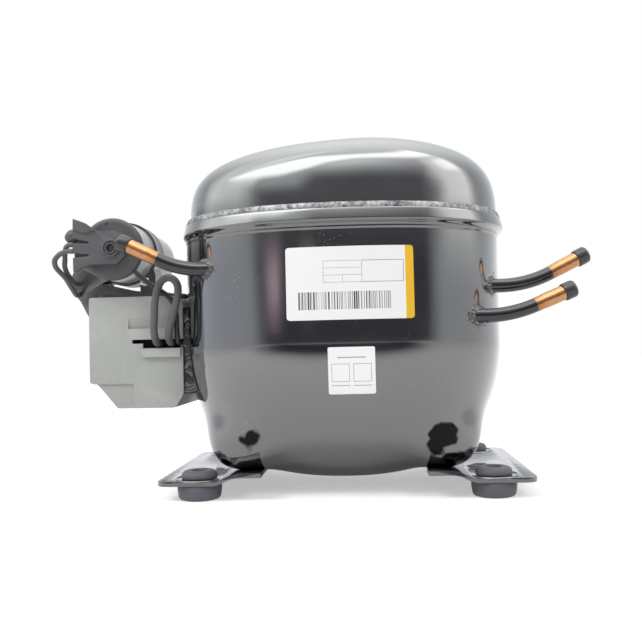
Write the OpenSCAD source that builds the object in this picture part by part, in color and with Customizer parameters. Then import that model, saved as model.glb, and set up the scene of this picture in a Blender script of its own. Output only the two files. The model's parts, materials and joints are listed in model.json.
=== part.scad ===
// Hermetic reciprocating compressor: a welded steel housing on two foot plates,
// with the spring-mounted motor and pump inside it. Millimetres, +Z up.
// Origin: on the floor, in the middle of the four mounting holes.
// -X is the electrical side, +X the side with two tubes, -Y the labelled side.

/* [Housing] */
// Half length of the lower housing on the electrical side
half_left = 96.5; // [95:0.5:98]
// Half length of the lower housing on the tube side
half_right = 94.5; // [93:0.5:96]
// Half width of the lower housing, front to back
half_width = 79; // [78:0.5:81]
// Thickness of the pressed steel sheet
housing_wall = 3; // [2.6:0.1:3.2]
// Height of the lowest point of the housing above the floor
housing_bottom = 5.5; // [4.5:0.5:7]
// Height at which the rounded bottom turns into the upright wall
round_top = 92; // [88:1:96]
// Height at which the upright wall starts to flare out to the rim
flare_z = 146; // [144:0.5:148]
// How far the rim that takes the upper housing flares out at the ends
rim_flare_end = 1.8; // [1.1:0.1:3.1]
// How far the rim flares out at the front and back
rim_flare_side = 3.8; // [3.4:0.1:5]
// Height of the rim's top edge above the start of the flare
rim_height = 12; // [10:0.5:14]
// Height of the dome above its shoulder line, at its peak
dome_height = 53.5; // [50:0.5:56]
// How far the dome's peak lies towards the tube side
dome_peak_x = 20; // [12:1:26]
// How far the four corner lobes stand out at the bottom
lobe_push = 16; // [14:0.5:17]

/* [Feet] */
// Distance between the mounting holes along X
bolt_spacing_x = 165.1; // [160:0.1:170]
// Distance between the mounting holes along Y
bolt_spacing_y = 101.6; // [98:0.1:105]
// Thickness of the foot plates
foot_sheet = 2.6; // [2:0.1:3]
// How far a foot plate's ends stand out past the grommets
foot_lip = 0.2; // [0.1:0.1:2.5]
// Distance from the hole line to the outer edge of a foot plate
foot_edge = 22.5; // [20:0.5:24]
// Diameter of a grommet's base
grommet_d = 25; // [23:0.5:27]
// Height of a grommet's base, below the foot plate
grommet_base = 8.8; // [8:0.1:10]
// Height of the grommet's collar, above the foot plate
grommet_collar = 4.6; // [3:0.1:6]
// Diameter of the hole through a grommet
grommet_bore = 6.8; // [6.4:0.1:7.4]

/* [Tubes] */
// Outside diameter of the three connecting tubes
tube_d = 8; // [7.6:0.1:8.2]
// Inside diameter of the connecting tubes
tube_bore = 6.5; // [6:0.1:6.7]
// Outside diameter of a rubber tube cap
cap_d = 10; // [9.6:0.1:11]
// Length of a rubber tube cap
cap_length = 7.5; // [6.5:0.5:10]
// Depth to which a tube goes into its cap
cap_cover = 5; // [3.5:0.5:5.5]

/* [Electrical side] */
// Length of the relay cover along X
cover_x = 57; // [54:0.5:60]
// Width of the relay cover along Y
cover_y = 60; // [56:1:64]
// Height of the relay cover
cover_z = 67; // [64:0.5:70]
// Wall of the relay cover
cover_wall = 2; // [1.6:0.1:2.4]
// Diameter of the start capacitor
capacitor_d = 36.5; // [35:0.5:38]
// Length of the start capacitor's can
capacitor_length = 76; // [70:1:82]
// Diameter of the thick grey leads
lead_d = 4.4; // [4:0.1:4.8]
// Diameter of the thin black leads
thin_lead_d = 3; // [2.6:0.1:3.2]

/* [Motor] */
// Half length of the stator core along X
stator_half_x = 54; // [52:0.5:55]
// Half width of the stator core along Y
stator_half_y = 47; // [45:0.5:48]
// Height of the stator stack
stack_height = 44; // [42:0.5:46]
// Diameter of the rotor
rotor_d = 60; // [56:0.5:62]
// Air gap between rotor and stator, on each side
air_gap = 0.5; // [0.3:0.05:0.7]
// Diameter of the crankshaft in its bearing
shaft_d = 18; // [16:0.5:18]

/* [Pump] */
// Distance from the crankshaft's axis to its pin, half the stroke
crank_throw = 9; // [8:0.5:9.5]
// Bore of the cylinder
cylinder_bore = 28; // [26:0.5:30]
// Diameter of the crank pin
pin_d = 10; // [9:0.5:10.5]
// Diameter of the sliding block on the pin
block_d = 18; // [17:0.5:18.5]
// Length of the piston
piston_length = 24; // [22:0.5:26]
// Space left above the piston, for the suction reed to open
head_space = 1.6; // [1.5:0.1:2]
// Thickness of the valve plate
valve_plate = 3; // [2.5:0.1:3.5]
// Thickness of a gasket
gasket = 0.5; // [0.4:0.1:0.6]
// Thickness of a reed
reed = 0.3; // [0.25:0.05:0.35]

/* [Clearances] */
// Radial gap of a running fit
run_gap = 0.03; // [0.02:0.01:0.05]
// Gap between pressed, brazed or seated pieces
seat_gap = 0.05; // [0.02:0.01:0.1]

/* [Hidden] */
$fn = 48;

// ---- Shape of the housing ----
outline_power = 2.35;
bottom_power = 2.5;
dome_power_left = 4.2;
dome_power_right = 3.7;
dome_slope_left = 0.075;
dome_slope_right = 0.03;
dome_crest = 15;
lobe_angle = 38;
lobe_height_angle = 40;
lobe_spread = 14;
ring_points = 48;
ring_angles = [0, 9, 18, 27, 36, 45, 54, 62, 70, 77, 83, 87.5];
skirt_gap = 0.15;
rim_half_length = max(half_left, half_right) + rim_flare_end;
rim_half_width = half_width + rim_flare_side;
flare_rise = 5;
rim_lean = 1.5;
ledge_z = flare_z + flare_rise;
shoulder_z = ledge_z + 1;
rim_top = flare_z + rim_height;
skirt_inset = housing_wall + skirt_gap;
dome_inset_left = 1.6;
dome_inset_right = 0.6;

// ---- Feet ----
hole_x = bolt_spacing_x / 2;
hole_y = bolt_spacing_y / 2;
foot_length = bolt_spacing_y + grommet_d + 2 * foot_lip;
foot_z = grommet_base;
foot_rise = 4.2;
foot_corner = 7;
neck_d = grommet_d - 10;

// ---- Relay cover, seen from the front ----
cover_right = -half_left + 0.5;
cover_left = cover_right - cover_x;
cover_top = flare_z - 29;
cover_bottom = cover_top - cover_z;
cover_front = -cover_y / 2;
fence_gap = 0.3;
opening_bottom = cover_bottom + 8;
opening_top = cover_top - 7;

// ---- Capacitor ----
capacitor_x = cover_right - 39.5;
capacitor_z = cover_top + 28;
capacitor_front = cover_front - 6;

// ---- Pump levels, from the springs up ----
crank_x = 4;
spring_low = 29;
stator_low = 50;
stator_top = stator_low + stack_height;
spring_high = stator_low - 4;
winding_height = 14;
deck_z = stator_top + 28;
deck_sheet = 8;
deck_top = deck_z + deck_sheet;
web_z = deck_top + 1.5;
web_height = 7.5;
web_top = web_z + web_height;
yoke_wall = 3;
yoke_r = block_d / 2 + run_gap + yoke_wall;
pin_level = web_top + max(yoke_r + 1, cylinder_bore / 2 + 0.5);
piston_x = crank_x - yoke_r - 10;
crown_x = piston_x - piston_length;
plate_x = crown_x - crank_throw - head_space;
block_back = piston_x - crank_throw + 8.5;
head_x = plate_x - valve_plate - gasket;
head_depth = 17;
leg_x = stator_half_x - 10;
leg_y = stator_half_y - 9;
thread_d = 5;
link_y = crank_throw / 2;
plug_d = 4;

// ---- Tubes: where each one starts, a little behind the wall ----
// Where the upright wall stands along X, at a distance y from the middle
function wall_x(y, half) = half * pow(1 - pow(abs(y) / half_width, outline_power),
    1 / outline_power);
suction_y = 40 - half_width;
process_y = 26 - half_width;
discharge_y = 25 - half_width;
suction_sink = 2.4;
process_sink = 4.5;
discharge_sink = 9.1;
suction_exit = [wall_x(suction_y, half_right) - suction_sink, suction_y, flare_z - 29];
process_exit = [wall_x(process_y, half_right) - process_sink, process_y, flare_z - 46.5];
discharge_exit = [discharge_sink - wall_x(discharge_y, half_left), discharge_y, flare_z - 16];

// Radius at angle u of an outline with half lengths l and r and half width w
function outline_r(u, l, r, w) = pow(
    pow(abs(cos(u)) / (cos(u) < 0 ? l : r), outline_power)
    + pow(abs(sin(u)) / w, outline_power), -1 / outline_power);
function lower_r(u, g) = outline_r(u, half_left + g, half_right + g, half_width + g);
function rim_r(u, g) = outline_r(u, rim_half_length + g, rim_half_length + g, rim_half_width + g);
function dome_r(u, g) = let (h = rim_half_length - skirt_inset + g)
    outline_r(u, h - dome_inset_left, h - dome_inset_right,
        rim_half_width - skirt_inset - dome_inset_right + g);

// Height of the dome over its shoulder line, along its length
function dome_rise(x) = let (d = x - dome_peak_x)
    dome_height
    - (dome_slope_left + dome_slope_right) / 2 * (sqrt(d * d + dome_crest * dome_crest) - dome_crest)
    + (dome_slope_left - dome_slope_right) / 2 * d;

// How far a corner lobe pushes the bottom out, at angle u round and t down
function quarter(u) = let (h = u % 180) h > 90 ? 180 - h : h;
function lobe(u, t) = lobe_push
    * exp(-pow((quarter(u) - lobe_angle) / lobe_spread, 2))
    * exp(-pow((t - lobe_height_angle) / lobe_spread, 2));

// One ring of the upright wall, of the rim, of the rounded bottom and of the dome
function round_ring() = [for (i = [0 : ring_points - 1]) i * 360 / ring_points];
function wall_ring(z, g) = [for (u = round_ring())
    let (r = lower_r(u, g)) [r * cos(u), r * sin(u), z]];
function rim_ring(z, g) = [for (u = round_ring())
    let (r = rim_r(u, g)) [r * cos(u), r * sin(u), z]];
function bottom_ring(t, g) = [for (u = round_ring())
    let (s = pow(cos(t), 2 / bottom_power),
        d = pow(sin(t), 2 / bottom_power), p = lobe(u, t),
        r = lower_r(u, g) * s + p * cos(t))
    [r * cos(u), r * sin(u), round_top - (round_top - housing_bottom + g) * d - p * sin(t)]];
function dome_power(u) = (dome_power_left + dome_power_right) / 2
    - (dome_power_left - dome_power_right) / 2 * cos(u);
function dome_ring(t, g) = [for (u = round_ring())
    let (e = 2 / dome_power(u), r = dome_r(u, g) * pow(cos(t), e))
    [r * cos(u), r * sin(u), shoulder_z + (dome_rise(r * cos(u)) + g) * pow(sin(t), e)]];

function backwards(v) = [for (i = [len(v) - 1 : -1 : 0]) v[i]];
function joined(v) = [for (ring = v) each ring];

// A closed skin over rings of points, with a single point at each end
module skin(rings, first, last) {
    n = len(rings[0]);
    m = len(rings);
    polyhedron(
        points = concat([first], joined(rings), [last]),
        faces = concat(
            [for (i = [0 : n - 1]) [0, 1 + i, 1 + (i + 1) % n]],
            [for (k = [0 : m - 2], i = [0 : n - 1])
                let (a = 1 + k * n + i, b = 1 + k * n + (i + 1) % n)
                [a, a + n, b + n]],
            [for (k = [0 : m - 2], i = [0 : n - 1])
                let (a = 1 + k * n + i, b = 1 + k * n + (i + 1) % n)
                [a, b + n, b]],
            [for (i = [0 : n - 1]) [1 + m * n, 1 + (m - 1) * n + (i + 1) % n, 1 + (m - 1) * n + i]]));
}

// A closed loop swept round the housing, its section given as [grow, z] pairs
module housing_loop(section) {
    n = ring_points;
    m = len(section);
    polyhedron(
        points = joined([for (s = section) rim_ring(s[1], s[0])]),
        faces = concat(
            [for (k = [0 : m - 1], i = [0 : n - 1])
                [k * n + i, (k + 1) % m * n + i, (k + 1) % m * n + (i + 1) % n]],
            [for (k = [0 : m - 1], i = [0 : n - 1])
                [k * n + i, (k + 1) % m * n + (i + 1) % n, k * n + (i + 1) % n]]));
}

// The lower housing as a solid block, grown by g: what seats on it is cut by it
module lower_form(g) {
    skin(concat(
        backwards([for (t = ring_angles) bottom_ring(t, g)]),
        [wall_ring(flare_z, g), rim_ring(ledge_z, g), rim_ring(rim_top, g - rim_lean)]),
        [0, 0, housing_bottom - g], [0, 0, rim_top]);
}

// A round tube along a list of points, with flat ends square to the path
function unit(v) = v / norm(v);
function heading(path, i) = let (n = len(path))
    unit(path[min(i + 1, n - 1)] - path[max(i - 1, 0)]);
module bent_tube(path, d, sides, up) {
    n = len(path);
    rings = [for (i = [0 : n - 1])
        let (h = heading(path, i), a = unit(cross(h, up)), b = cross(h, a))
        [for (k = [0 : sides - 1]) path[i]
            + d / 2 * (a * cos(k * 360 / sides) + b * sin(k * 360 / sides))]];
    skin(rings, path[0], path[n - 1]);
}

// ---- Housing ----
module lower_wall() {
    skin(concat(
        backwards([for (t = ring_angles) bottom_ring(t, 0)]),
        [wall_ring(flare_z, 0), rim_ring(ledge_z, 0), rim_ring(rim_top, -rim_lean),
            rim_ring(rim_top, -housing_wall), rim_ring(ledge_z, -housing_wall),
            wall_ring(ledge_z, -housing_wall)],
        [for (t = ring_angles) bottom_ring(t, -housing_wall)]),
        [0, 0, housing_bottom], [0, 0, housing_bottom + housing_wall]);
}
module lower_housing() {
    color("#16181b")
    difference() {
        lower_wall();
        for (route = [suction_route, process_route, discharge_route])
            placed(route) translate([-2 * tube_inside, 0, 0]) rotate([0, 90, 0])
                cylinder(h = 4 * tube_inside, d = tube_d + 2 * seat_gap);
        translate([-half_left - 20, 0, header_z])
            rotate([0, 90, 0]) cylinder(h = 40, d = header_d + 2 * seat_gap);
    }
}

module upper_housing() {
    color("#1a1c20")
    skin(concat(
        backwards([for (t = ring_angles) dome_ring(t, -housing_wall)]),
        [rim_ring(ledge_z, -skirt_inset - housing_wall), rim_ring(ledge_z, -skirt_inset)],
        [for (t = ring_angles) dome_ring(t, 0)]),
        [0, 0, shoulder_z + dome_rise(0) - housing_wall], [0, 0, shoulder_z + dome_rise(0)]);
}

module housing_weld() {
    inner = -skirt_inset + seat_gap;
    outer = -rim_lean - 0.2;
    color("#6d6f72")
    housing_loop([[inner, rim_top + seat_gap], [inner - 0.5, rim_top + 3.2],
        [inner + 0.9, rim_top + 2.7], [outer - 0.1, rim_top + 1.3], [outer, rim_top + seat_gap]]);
}

// ---- Feet ----
// Section of the right foot plate: flat outside, raised where it is welded on
module foot_section() {
    outer = hole_x + foot_edge;
    bend = hole_x - neck_d / 2 - 5;
    inner = 46;
    polygon([[outer, foot_z], [outer, foot_z + foot_sheet],
        [bend, foot_z + foot_sheet], [bend - 9, foot_z + foot_sheet + foot_rise],
        [inner, foot_z + foot_sheet + foot_rise], [inner, foot_z + foot_rise],
        [bend - 9 + 0.8, foot_z + foot_rise], [bend + 0.8, foot_z]]);
}
module foot_plan() {
    outer = hole_x + foot_edge;
    half = foot_length / 2;
    for (side = [-1, 1])
        translate([outer - foot_corner, side * (half - foot_corner)]) circle(foot_corner);
    translate([40, -half]) square([outer - foot_corner - 40, foot_length]);
    translate([40, -half + foot_corner]) square([outer - 40, foot_length - 2 * foot_corner]);
}
module foot_plate() {
    difference() {
        intersection() {
            translate([0, foot_length / 2, 0]) rotate([90, 0, 0])
                linear_extrude(foot_length) foot_section();
            linear_extrude(40) foot_plan();
        }
        for (side = [-1, 1])
            translate([hole_x, side * hole_y, 0]) cylinder(h = 40, d = neck_d + 2 * seat_gap);
    }
}
module right_foot_plate() {
    color("#1c1c1e")
    difference() {
        foot_plate();
        lower_form(seat_gap);
    }
}
module left_foot_plate() {
    color("#1c1c1e")
    difference() {
        mirror([1, 0, 0]) foot_plate();
        lower_form(seat_gap);
    }
}

// One grommet: base, neck in the plate's hole and collar above the plate
module grommet() {
    chamfer = 1.4;
    rotate_extrude()
    difference() {
        union() {
            polygon([[0, 0], [grommet_d / 2 - chamfer, 0], [grommet_d / 2, chamfer * 2],
                [grommet_d / 2, grommet_base - seat_gap], [0, grommet_base - seat_gap]]);
            square([neck_d / 2, grommet_base + foot_sheet + grommet_collar / 2]);
            translate([0, grommet_base + foot_sheet + seat_gap])
                polygon([[0, 0], [grommet_d / 2 - 2.6, 0], [grommet_d / 2 - 2.2, 1.2],
                    [grommet_d / 2 - 3.4, grommet_collar - 1],
                    [grommet_d / 2 - 5.6, grommet_collar], [0, grommet_collar]]);
        }
        translate([-1, -1]) square([grommet_bore / 2 + 1, grommet_base + foot_sheet + grommet_collar + 3]);
    }
}
module foot_grommets() {
    color("#4c4852")
    for (x = [-hole_x, hole_x], y = [-hole_y, hole_y])
        translate([x, y, 0]) grommet();
}

// ---- Connecting tubes ----
// start, turn about Z, straight before the bend, bend angle, straight after it,
// radius of the bend, and how deep the start lies behind the wall
suction_route = [suction_exit, 10, 7, 26, 22, 70, suction_sink];
process_route = [process_exit, 8, 9, 22, 22, 76, process_sink];
discharge_route = [discharge_exit, 180, 10, 26, 25, 55, discharge_sink];
tube_inside = 12;
tube_sides = 20;
socket_wall = (tube_d - tube_bore) / 2 + 0.2;
socket_depth = 14;
socket_length = 18;
braze_reach = 2.9;
bend_step = 5;

module placed(route) {
    translate(route[0]) rotate([0, 0, route[1]]) children();
}
// Puts its children at the tube's outer end, with +Z outwards along the tube
module tube_end_frame(route) {
    translate([route[2], 0, route[5]]) rotate([0, -route[3], 0])
        translate([route[4], 0, -route[5]]) rotate([0, 90, 0]) children();
}
// Middle line of a tube along +X that bends upwards, cut short by trim at its end
function tube_line(route, start, trim) = let (steps = ceil(route[3] / bend_step),
    r = route[5], centre = [route[2], 0, r], a = route[3], last = route[4] - trim)
    concat([[start, 0, 0]],
        [for (i = [0 : steps]) centre + r * [sin(i * a / steps), 0, -cos(i * a / steps)]],
        [centre + r * [sin(a), 0, -cos(a)] + last * [cos(a), 0, sin(a)]]);
// A bent tube whose outer end is widened to a round socket
module connecting_tube(route) {
    socket_d = tube_bore + 2 * socket_wall;
    color("#b5714a")
    placed(route)
    difference() {
        union() {
            bent_tube(tube_line(route, -tube_inside, 4), tube_d, tube_sides, [0, 1, 0]);
            tube_end_frame(route) translate([0, 0, -socket_length])
                cylinder(h = socket_length, d = socket_d);
        }
        bent_tube(tube_line(route, -tube_inside - 2, 6), tube_bore - 0.6, tube_sides, [0, 1, 0]);
        tube_end_frame(route) translate([0, 0, -socket_depth])
            cylinder(h = socket_depth + 1, d = tube_bore);
    }
}
module suction_tube() { connecting_tube(suction_route); }
module process_tube() { connecting_tube(process_route); }
module discharge_tube() { connecting_tube(discharge_route); }

module tube_cap(route) {
    inner = tube_bore / 2 + socket_wall + seat_gap;
    color("#2b2a2d")
    placed(route) tube_end_frame(route) translate([0, 0, -cap_cover])
    rotate_extrude()
        polygon([[inner, 0], [cap_d / 2 - 0.3, 0], [cap_d / 2, 0.5],
            [cap_d / 2, cap_length - 0.8], [cap_d / 2 - 0.8, cap_length], [0, cap_length],
            [0, cap_cover + seat_gap], [inner, cap_cover + seat_gap]]);
}
module suction_tube_cap() { tube_cap(suction_route); }
module process_tube_cap() { tube_cap(process_route); }
module discharge_tube_cap() { tube_cap(discharge_route); }

// A braze fillet round each tube, cut to the housing where it sits on it
module tube_braze_rings() {
    color("#3a3b3d")
    difference() {
        for (route = [suction_route, process_route, discharge_route])
            placed(route) translate([-tube_inside, 0, 0]) rotate([0, 90, 0])
            difference() {
                cylinder(h = tube_inside + route[6] + braze_reach, d = tube_d + 3);
                translate([0, 0, -1])
                    cylinder(h = tube_inside + route[6] + braze_reach + 2, d = tube_d + 2 * seat_gap);
            }
        lower_form(seat_gap);
    }
}

// ---- Terminal, relay and cover ----
header_z = cover_bottom + 32;
header_d = 36;
pin_circle = 8;
header_in = half_left - 6;
header_out = half_left + 1.5;
pin_angles = [90, 210, 330];
terminal_pin_d = 2.3;
glass_d = 6;

module terminal_header() {
    color("#4a4b4e")
    difference() {
        union() {
            translate([-header_out, 0, header_z]) rotate([0, 90, 0])
                cylinder(h = header_out - header_in, d = header_d);
        }
        for (a = pin_angles)
            translate([-header_out - 1, pin_circle * cos(a), header_z + pin_circle * sin(a)])
                rotate([0, 90, 0]) cylinder(h = 20, d = glass_d + 2 * seat_gap);
    }
}
module pin_glass_seals() {
    color("#7fa58c")
    for (a = pin_angles)
        translate([-header_out - 1, pin_circle * cos(a), header_z + pin_circle * sin(a)])
            rotate([0, 90, 0])
            difference() {
                cylinder(h = header_out - header_in + 2, d = glass_d);
                translate([0, 0, -1])
                    cylinder(h = header_out - header_in + 4, d = terminal_pin_d + 2 * seat_gap);
            }
}
module terminal_pins() {
    color("#c9b27a")
    for (a = pin_angles)
        translate([-header_out - 12, pin_circle * cos(a), header_z + pin_circle * sin(a)])
            rotate([0, 90, 0]) cylinder(h = 28, d = terminal_pin_d);
}

// A frame round the terminal, welded to the housing, that the cover slips over
module terminal_fence() {
    outer_y = cover_y / 2 - cover_wall - fence_gap;
    outer_top = opening_top - fence_gap;
    outer_bottom = opening_bottom + fence_gap;
    color("#202124")
    difference() {
        translate([cover_right - 14, -outer_y, outer_bottom])
            cube([40, 2 * outer_y, outer_top - outer_bottom]);
        translate([cover_right - 15, -outer_y + 2, outer_bottom + 2])
            cube([42, 2 * outer_y - 4, outer_top - outer_bottom - 4]);
        // the grey lead and the black lead go through the front of the frame
        translate([cover_right - 15, -outer_y - 1, slot_z])
            cube([13, 4, slot_height]);
        lower_form(seat_gap);
    }
}
module start_relay() {
    x0 = -header_out - 13.5;
    color("#2a2a2c")
    difference() {
        union() {
            translate([x0 - 16, -17, header_z - 14]) cube([26, 34, 28]);
            translate([x0 - 19, -9, header_z - 9]) cube([4, 18, 18]);
        }
        for (a = pin_angles)
            translate([x0, pin_circle * cos(a), header_z + pin_circle * sin(a)])
                rotate([0, 90, 0]) cylinder(h = 20, d = terminal_pin_d + 2 * seat_gap);
    }
}
module overload_protector() {
    color("#1d1d1f")
    translate([-header_out - 22, 0, header_z + 14]) {
        cylinder(h = 9, d = 26);
        translate([0, 0, 9]) cylinder(h = 2.5, d1 = 22, d2 = 18);
    }
}

slot_z = cover_bottom + 35.5;
slot_height = 6;
slot_left = cover_left + 26;
scoop_depth = 3.2;
scoop_top = slot_z + 19;
lip_height = 5.2;
recess_x = cover_left + 27;
recess_z = cover_bottom + 14.5;

// Outline of the relay cover from the front, with its cut-off lower corners
module cover_outline(g) {
    left = cover_left + g;
    right = cover_right - g;
    top = cover_top - g;
    bottom = cover_bottom + g;
    polygon([[left, top], [right - 6, top], [right - 1.5, top - 1.5], [right, top - 6],
        [right, bottom + 8], [right - 5, bottom], [left + 16.5, bottom],
        [left + 4.5, bottom + 14.5], [left + 1.5, bottom + 17], [left, bottom + 20]]);
}
module relay_cover() {
    color("#aeb0ae")
    difference() {
        union() {
            translate([0, cover_y / 2, 0]) rotate([90, 0, 0])
                linear_extrude(cover_y) cover_outline(0);
            // lip under the slot
            translate([cover_left + 31, cover_front - 2.6, slot_z - lip_height])
                cube([cover_right - 1 - cover_left - 31, 3.6, lip_height]);
        }
        // hollow, open towards the housing
        translate([0, cover_y / 2 - cover_wall, 0]) rotate([90, 0, 0])
            linear_extrude(cover_y - 2 * cover_wall) cover_outline(cover_wall);
        translate([cover_right - cover_wall - 6, -cover_y / 2 + cover_wall, opening_bottom])
            cube([20, cover_y - 2 * cover_wall, opening_top - opening_bottom]);
        lower_form(fence_gap);
        // slot for the leads in the front face, open towards the housing
        translate([slot_left, cover_front - 4, slot_z])
            cube([cover_right - slot_left + 1, 8, slot_height]);
        // shallow scoop above the slot
        translate([slot_left - 6, cover_front - 1, slot_z + slot_height])
            cube([cover_right - slot_left + 8, 1 + cover_wall * 0.4, scoop_top - slot_z - slot_height]);
        // lower left panel lies a little back
        translate([cover_left - 1, cover_front - 1, cover_bottom - 1])
            cube([recess_x - cover_left + 1, 1 + cover_wall * 0.5, recess_z - cover_bottom + 1]);
    }
}

// ---- Capacitor ----
module along_y(x, y, z) {
    translate([x, y, z]) rotate([-90, 0, 0]) children();
}
module capacitor_can() {
    r = capacitor_d / 2;
    color("#9a9c9c")
    along_y(capacitor_x, capacitor_front, capacitor_z)
    rotate_extrude()
        polygon([[0, 0], [r - 1.2, 0], [r, 1.2], [r, 5], [r - 0.7, 5.6], [r - 0.7, 7.6],
            [r, 8.2], [r, capacitor_length - 1.5], [r - 1.5, capacitor_length],
            [0, capacitor_length]]);
}
// Dark moulded end cap: a disc, a clip plate with two slots, a fin and an eye
module capacitor_end_cap() {
    y0 = capacitor_front - seat_gap;
    color("#3a3b3c")
    difference() {
        union() {
            along_y(capacitor_x, y0 - 3, capacitor_z) cylinder(h = 3, d = capacitor_d + 0.6);
            along_y(capacitor_x, y0 - 4.2, capacitor_z) cylinder(h = 3, d = capacitor_d - 4);
            translate([capacitor_x, y0 - 4.2, capacitor_z]) rotate([90, 0, 0]) linear_extrude(3)
                polygon([[9, 5], [4.5, 10.5], [-8.5, 10.5], [-21, 17], [-22.5, 5], [-22.5, -6],
                    [-21, -14], [-10.5, -9.5], [4.5, -9.5], [9, -5]]);
            along_y(capacitor_x + 1, y0 - 9, capacitor_z) cylinder(h = 5, d = 11);
        }
        along_y(capacitor_x + 1, y0 - 10, capacitor_z) cylinder(h = 7.5, d = 6);
        for (z = [-4, 5])
            translate([capacitor_x - 19, y0 - 10, capacitor_z + z - 1.7]) cube([6, 7, 3.4]);
    }
}
strap_y = capacitor_front + 22;
strap_width = 22;
strap_sheet = 1.6;
strap_r = capacitor_d / 2 + seat_gap;
screw_turn = 55.4;
screw_x = capacitor_x + (strap_r + 3.2) * cos(screw_turn);
screw_z = capacitor_z - (strap_r + 3.2) * sin(screw_turn);
ear_z = cover_top + 4.2;
// Plate on the cover, with a cheek beside the capacitor and a leg down the cover's side
module capacitor_bracket() {
    thick = 2.2;
    low = cover_top + seat_gap;
    color("#232426")
    difference() {
        translate([0, strap_y + strap_width, 0]) rotate([90, 0, 0]) linear_extrude(strap_width)
            polygon([[cover_left - 11.5, cover_top + 21.5], [capacitor_x - 10, cover_top + 21.5],
                [capacitor_x - 10.7, cover_top + 11.2], [capacitor_x - 15.3, cover_top + 10],
                [capacitor_x + 8.5, ear_z], [capacitor_x + 20, ear_z],
                [cover_right - 7, low + thick], [cover_right - 2, low + thick],
                [cover_right - 2, low], [cover_left - seat_gap, low],
                [cover_left - seat_gap, cover_top - 14], [cover_left - 3, cover_top - 14],
                [cover_left - 6.4, cover_top - 10], [cover_left - 11.4, cover_top],
                [cover_left - 16, cover_top + 4], [cover_left - 16.3, cover_top + 16.5]]);
        along_y(capacitor_x, -60, capacitor_z)
            cylinder(h = 120, r = strap_r + strap_sheet + seat_gap);
    }
}
module capacitor_strap() {
    color("#2b2c2e")
    difference() {
        union() {
            along_y(capacitor_x, strap_y + 3, capacitor_z)
                cylinder(h = strap_width - 6, r = strap_r + strap_sheet);
            translate([screw_x - 3.6, strap_y + 3, ear_z + seat_gap])
                cube([10, strap_width - 6, screw_z + 10 - ear_z]);
        }
        along_y(capacitor_x, -60, capacitor_z) cylinder(h = 120, r = strap_r);
        along_y(screw_x, strap_y - 1, screw_z) cylinder(h = strap_width, d = 3 + 2 * seat_gap);
    }
}
module strap_screw() {
    color("#c4c6c8")
    along_y(screw_x, strap_y + 0.4, screw_z) {
        difference() {
            cylinder(h = 2.6 - seat_gap, d = 6.4);
            translate([-4, -0.5, -1]) cube([8, 1, 2]);
        }
        translate([0, 0, 2]) cylinder(h = 13, d = 3);
    }
}

// ---- Leads held at both ends: points from the slot's and the can's corner ----
function from_slot(path) = [for (p = path) p + [cover_right, cover_front, slot_z]];
function from_can(path) = [for (p = path) p + [capacitor_x, capacitor_front, capacitor_z]];
relay_lead_path = from_slot([[-15, 10, 3], [-15, 3, 3], [-15, -3, 4], [-15, -7, 7.5],
    [-15, -8.5, 12.5], [-14.5, -9, 18.5], [-14, -9.5, 25.5], [-13, -10, 31.5],
    [-11.5, -10, 36.5], [-9, -10, 40], [-5.5, -10, 41.5], [-2, -10, 40], [0, -10, 36.5],
    [0, -10, 31.5], [-1.5, -9.5, 25.5], [-3.5, -9, 18.5], [-5.5, -8.5, 12.5], [-6.5, -7, 7.5],
    [-7, -3, 4], [-7, 3, 3], [-7, 10, 3]]);
outer_lead_path = from_can([[-22.65, -5.7, -0.9], [-26, -5.7, -0.9], [-30, -5.5, -2.2],
    [-33.5, -4.6, -5], [-35, -3, -7.5], [-35, -0.5, -10], [-33.5, 3, -12.5], [-32, 7, -15.5],
    [-31, 11.5, -19.5], [-30.2, 15.5, -23], [-30, 19, -25], [-30, 21.9, -25]]);
inner_lead_path = from_can([[-22.65, -5.7, 2.9], [-24.6, -5.7, 2.9], [-27.2, -4, 1.6],
    [-28.8, -1.6, -1.4], [-30, 1.2, -5.2], [-31.2, 4, -8.7], [-31.6, 8, -12], [-31.2, 13, -15.2],
    [-31, 17, -17.2], [-31, 19, -17.5], [-31, 21.9, -17.5]]);
side_lead_path = from_can([[13.22, -1.5, -13.22], [15.5, -1.5, -15.5], [19.5, -0.4, -19.2],
    [25, 0.7, -23.3], [31.2, 1, -27.5], [36, 1.2, -33.2], [37, 1.4, -40], [37, 1.8, -47],
    [37.1, 2.6, -52], [37.1, 4.2, -55.2], [37.1, 6, -56.4], [37.1, 8.25, -56.4]]);
module relay_lead() {
    color("#55565a") bent_tube(relay_lead_path, lead_d, 8, [0, -1, 0.2]);
}
module capacitor_leads() {
    color("#222326") {
        bent_tube(outer_lead_path, thin_lead_d, 8, [0.3, 1, 0]);
        bent_tube(inner_lead_path, thin_lead_d, 8, [0.3, 1, 0]);
        bent_tube(side_lead_path, thin_lead_d, 8, [0, -1, 0.3]);
    }
}

// ---- Labels ----
label_sheet = 0.4;
module label_patch(x0, x1, z0, z1) {
    difference() {
        intersection() {
            lower_form(label_sheet + seat_gap);
            translate([x0, -half_width - 5, z0]) cube([x1 - x0, 30, z1 - z0]);
        }
        lower_form(seat_gap);
    }
}
module rating_label() {
    color("#e9e9ea") label_patch(-28, 40, 98.5, 137.5);
}
module approval_label() {
    color("#f2f2f2") label_patch(-6.5, 18.5, 59, 84);
}

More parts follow.
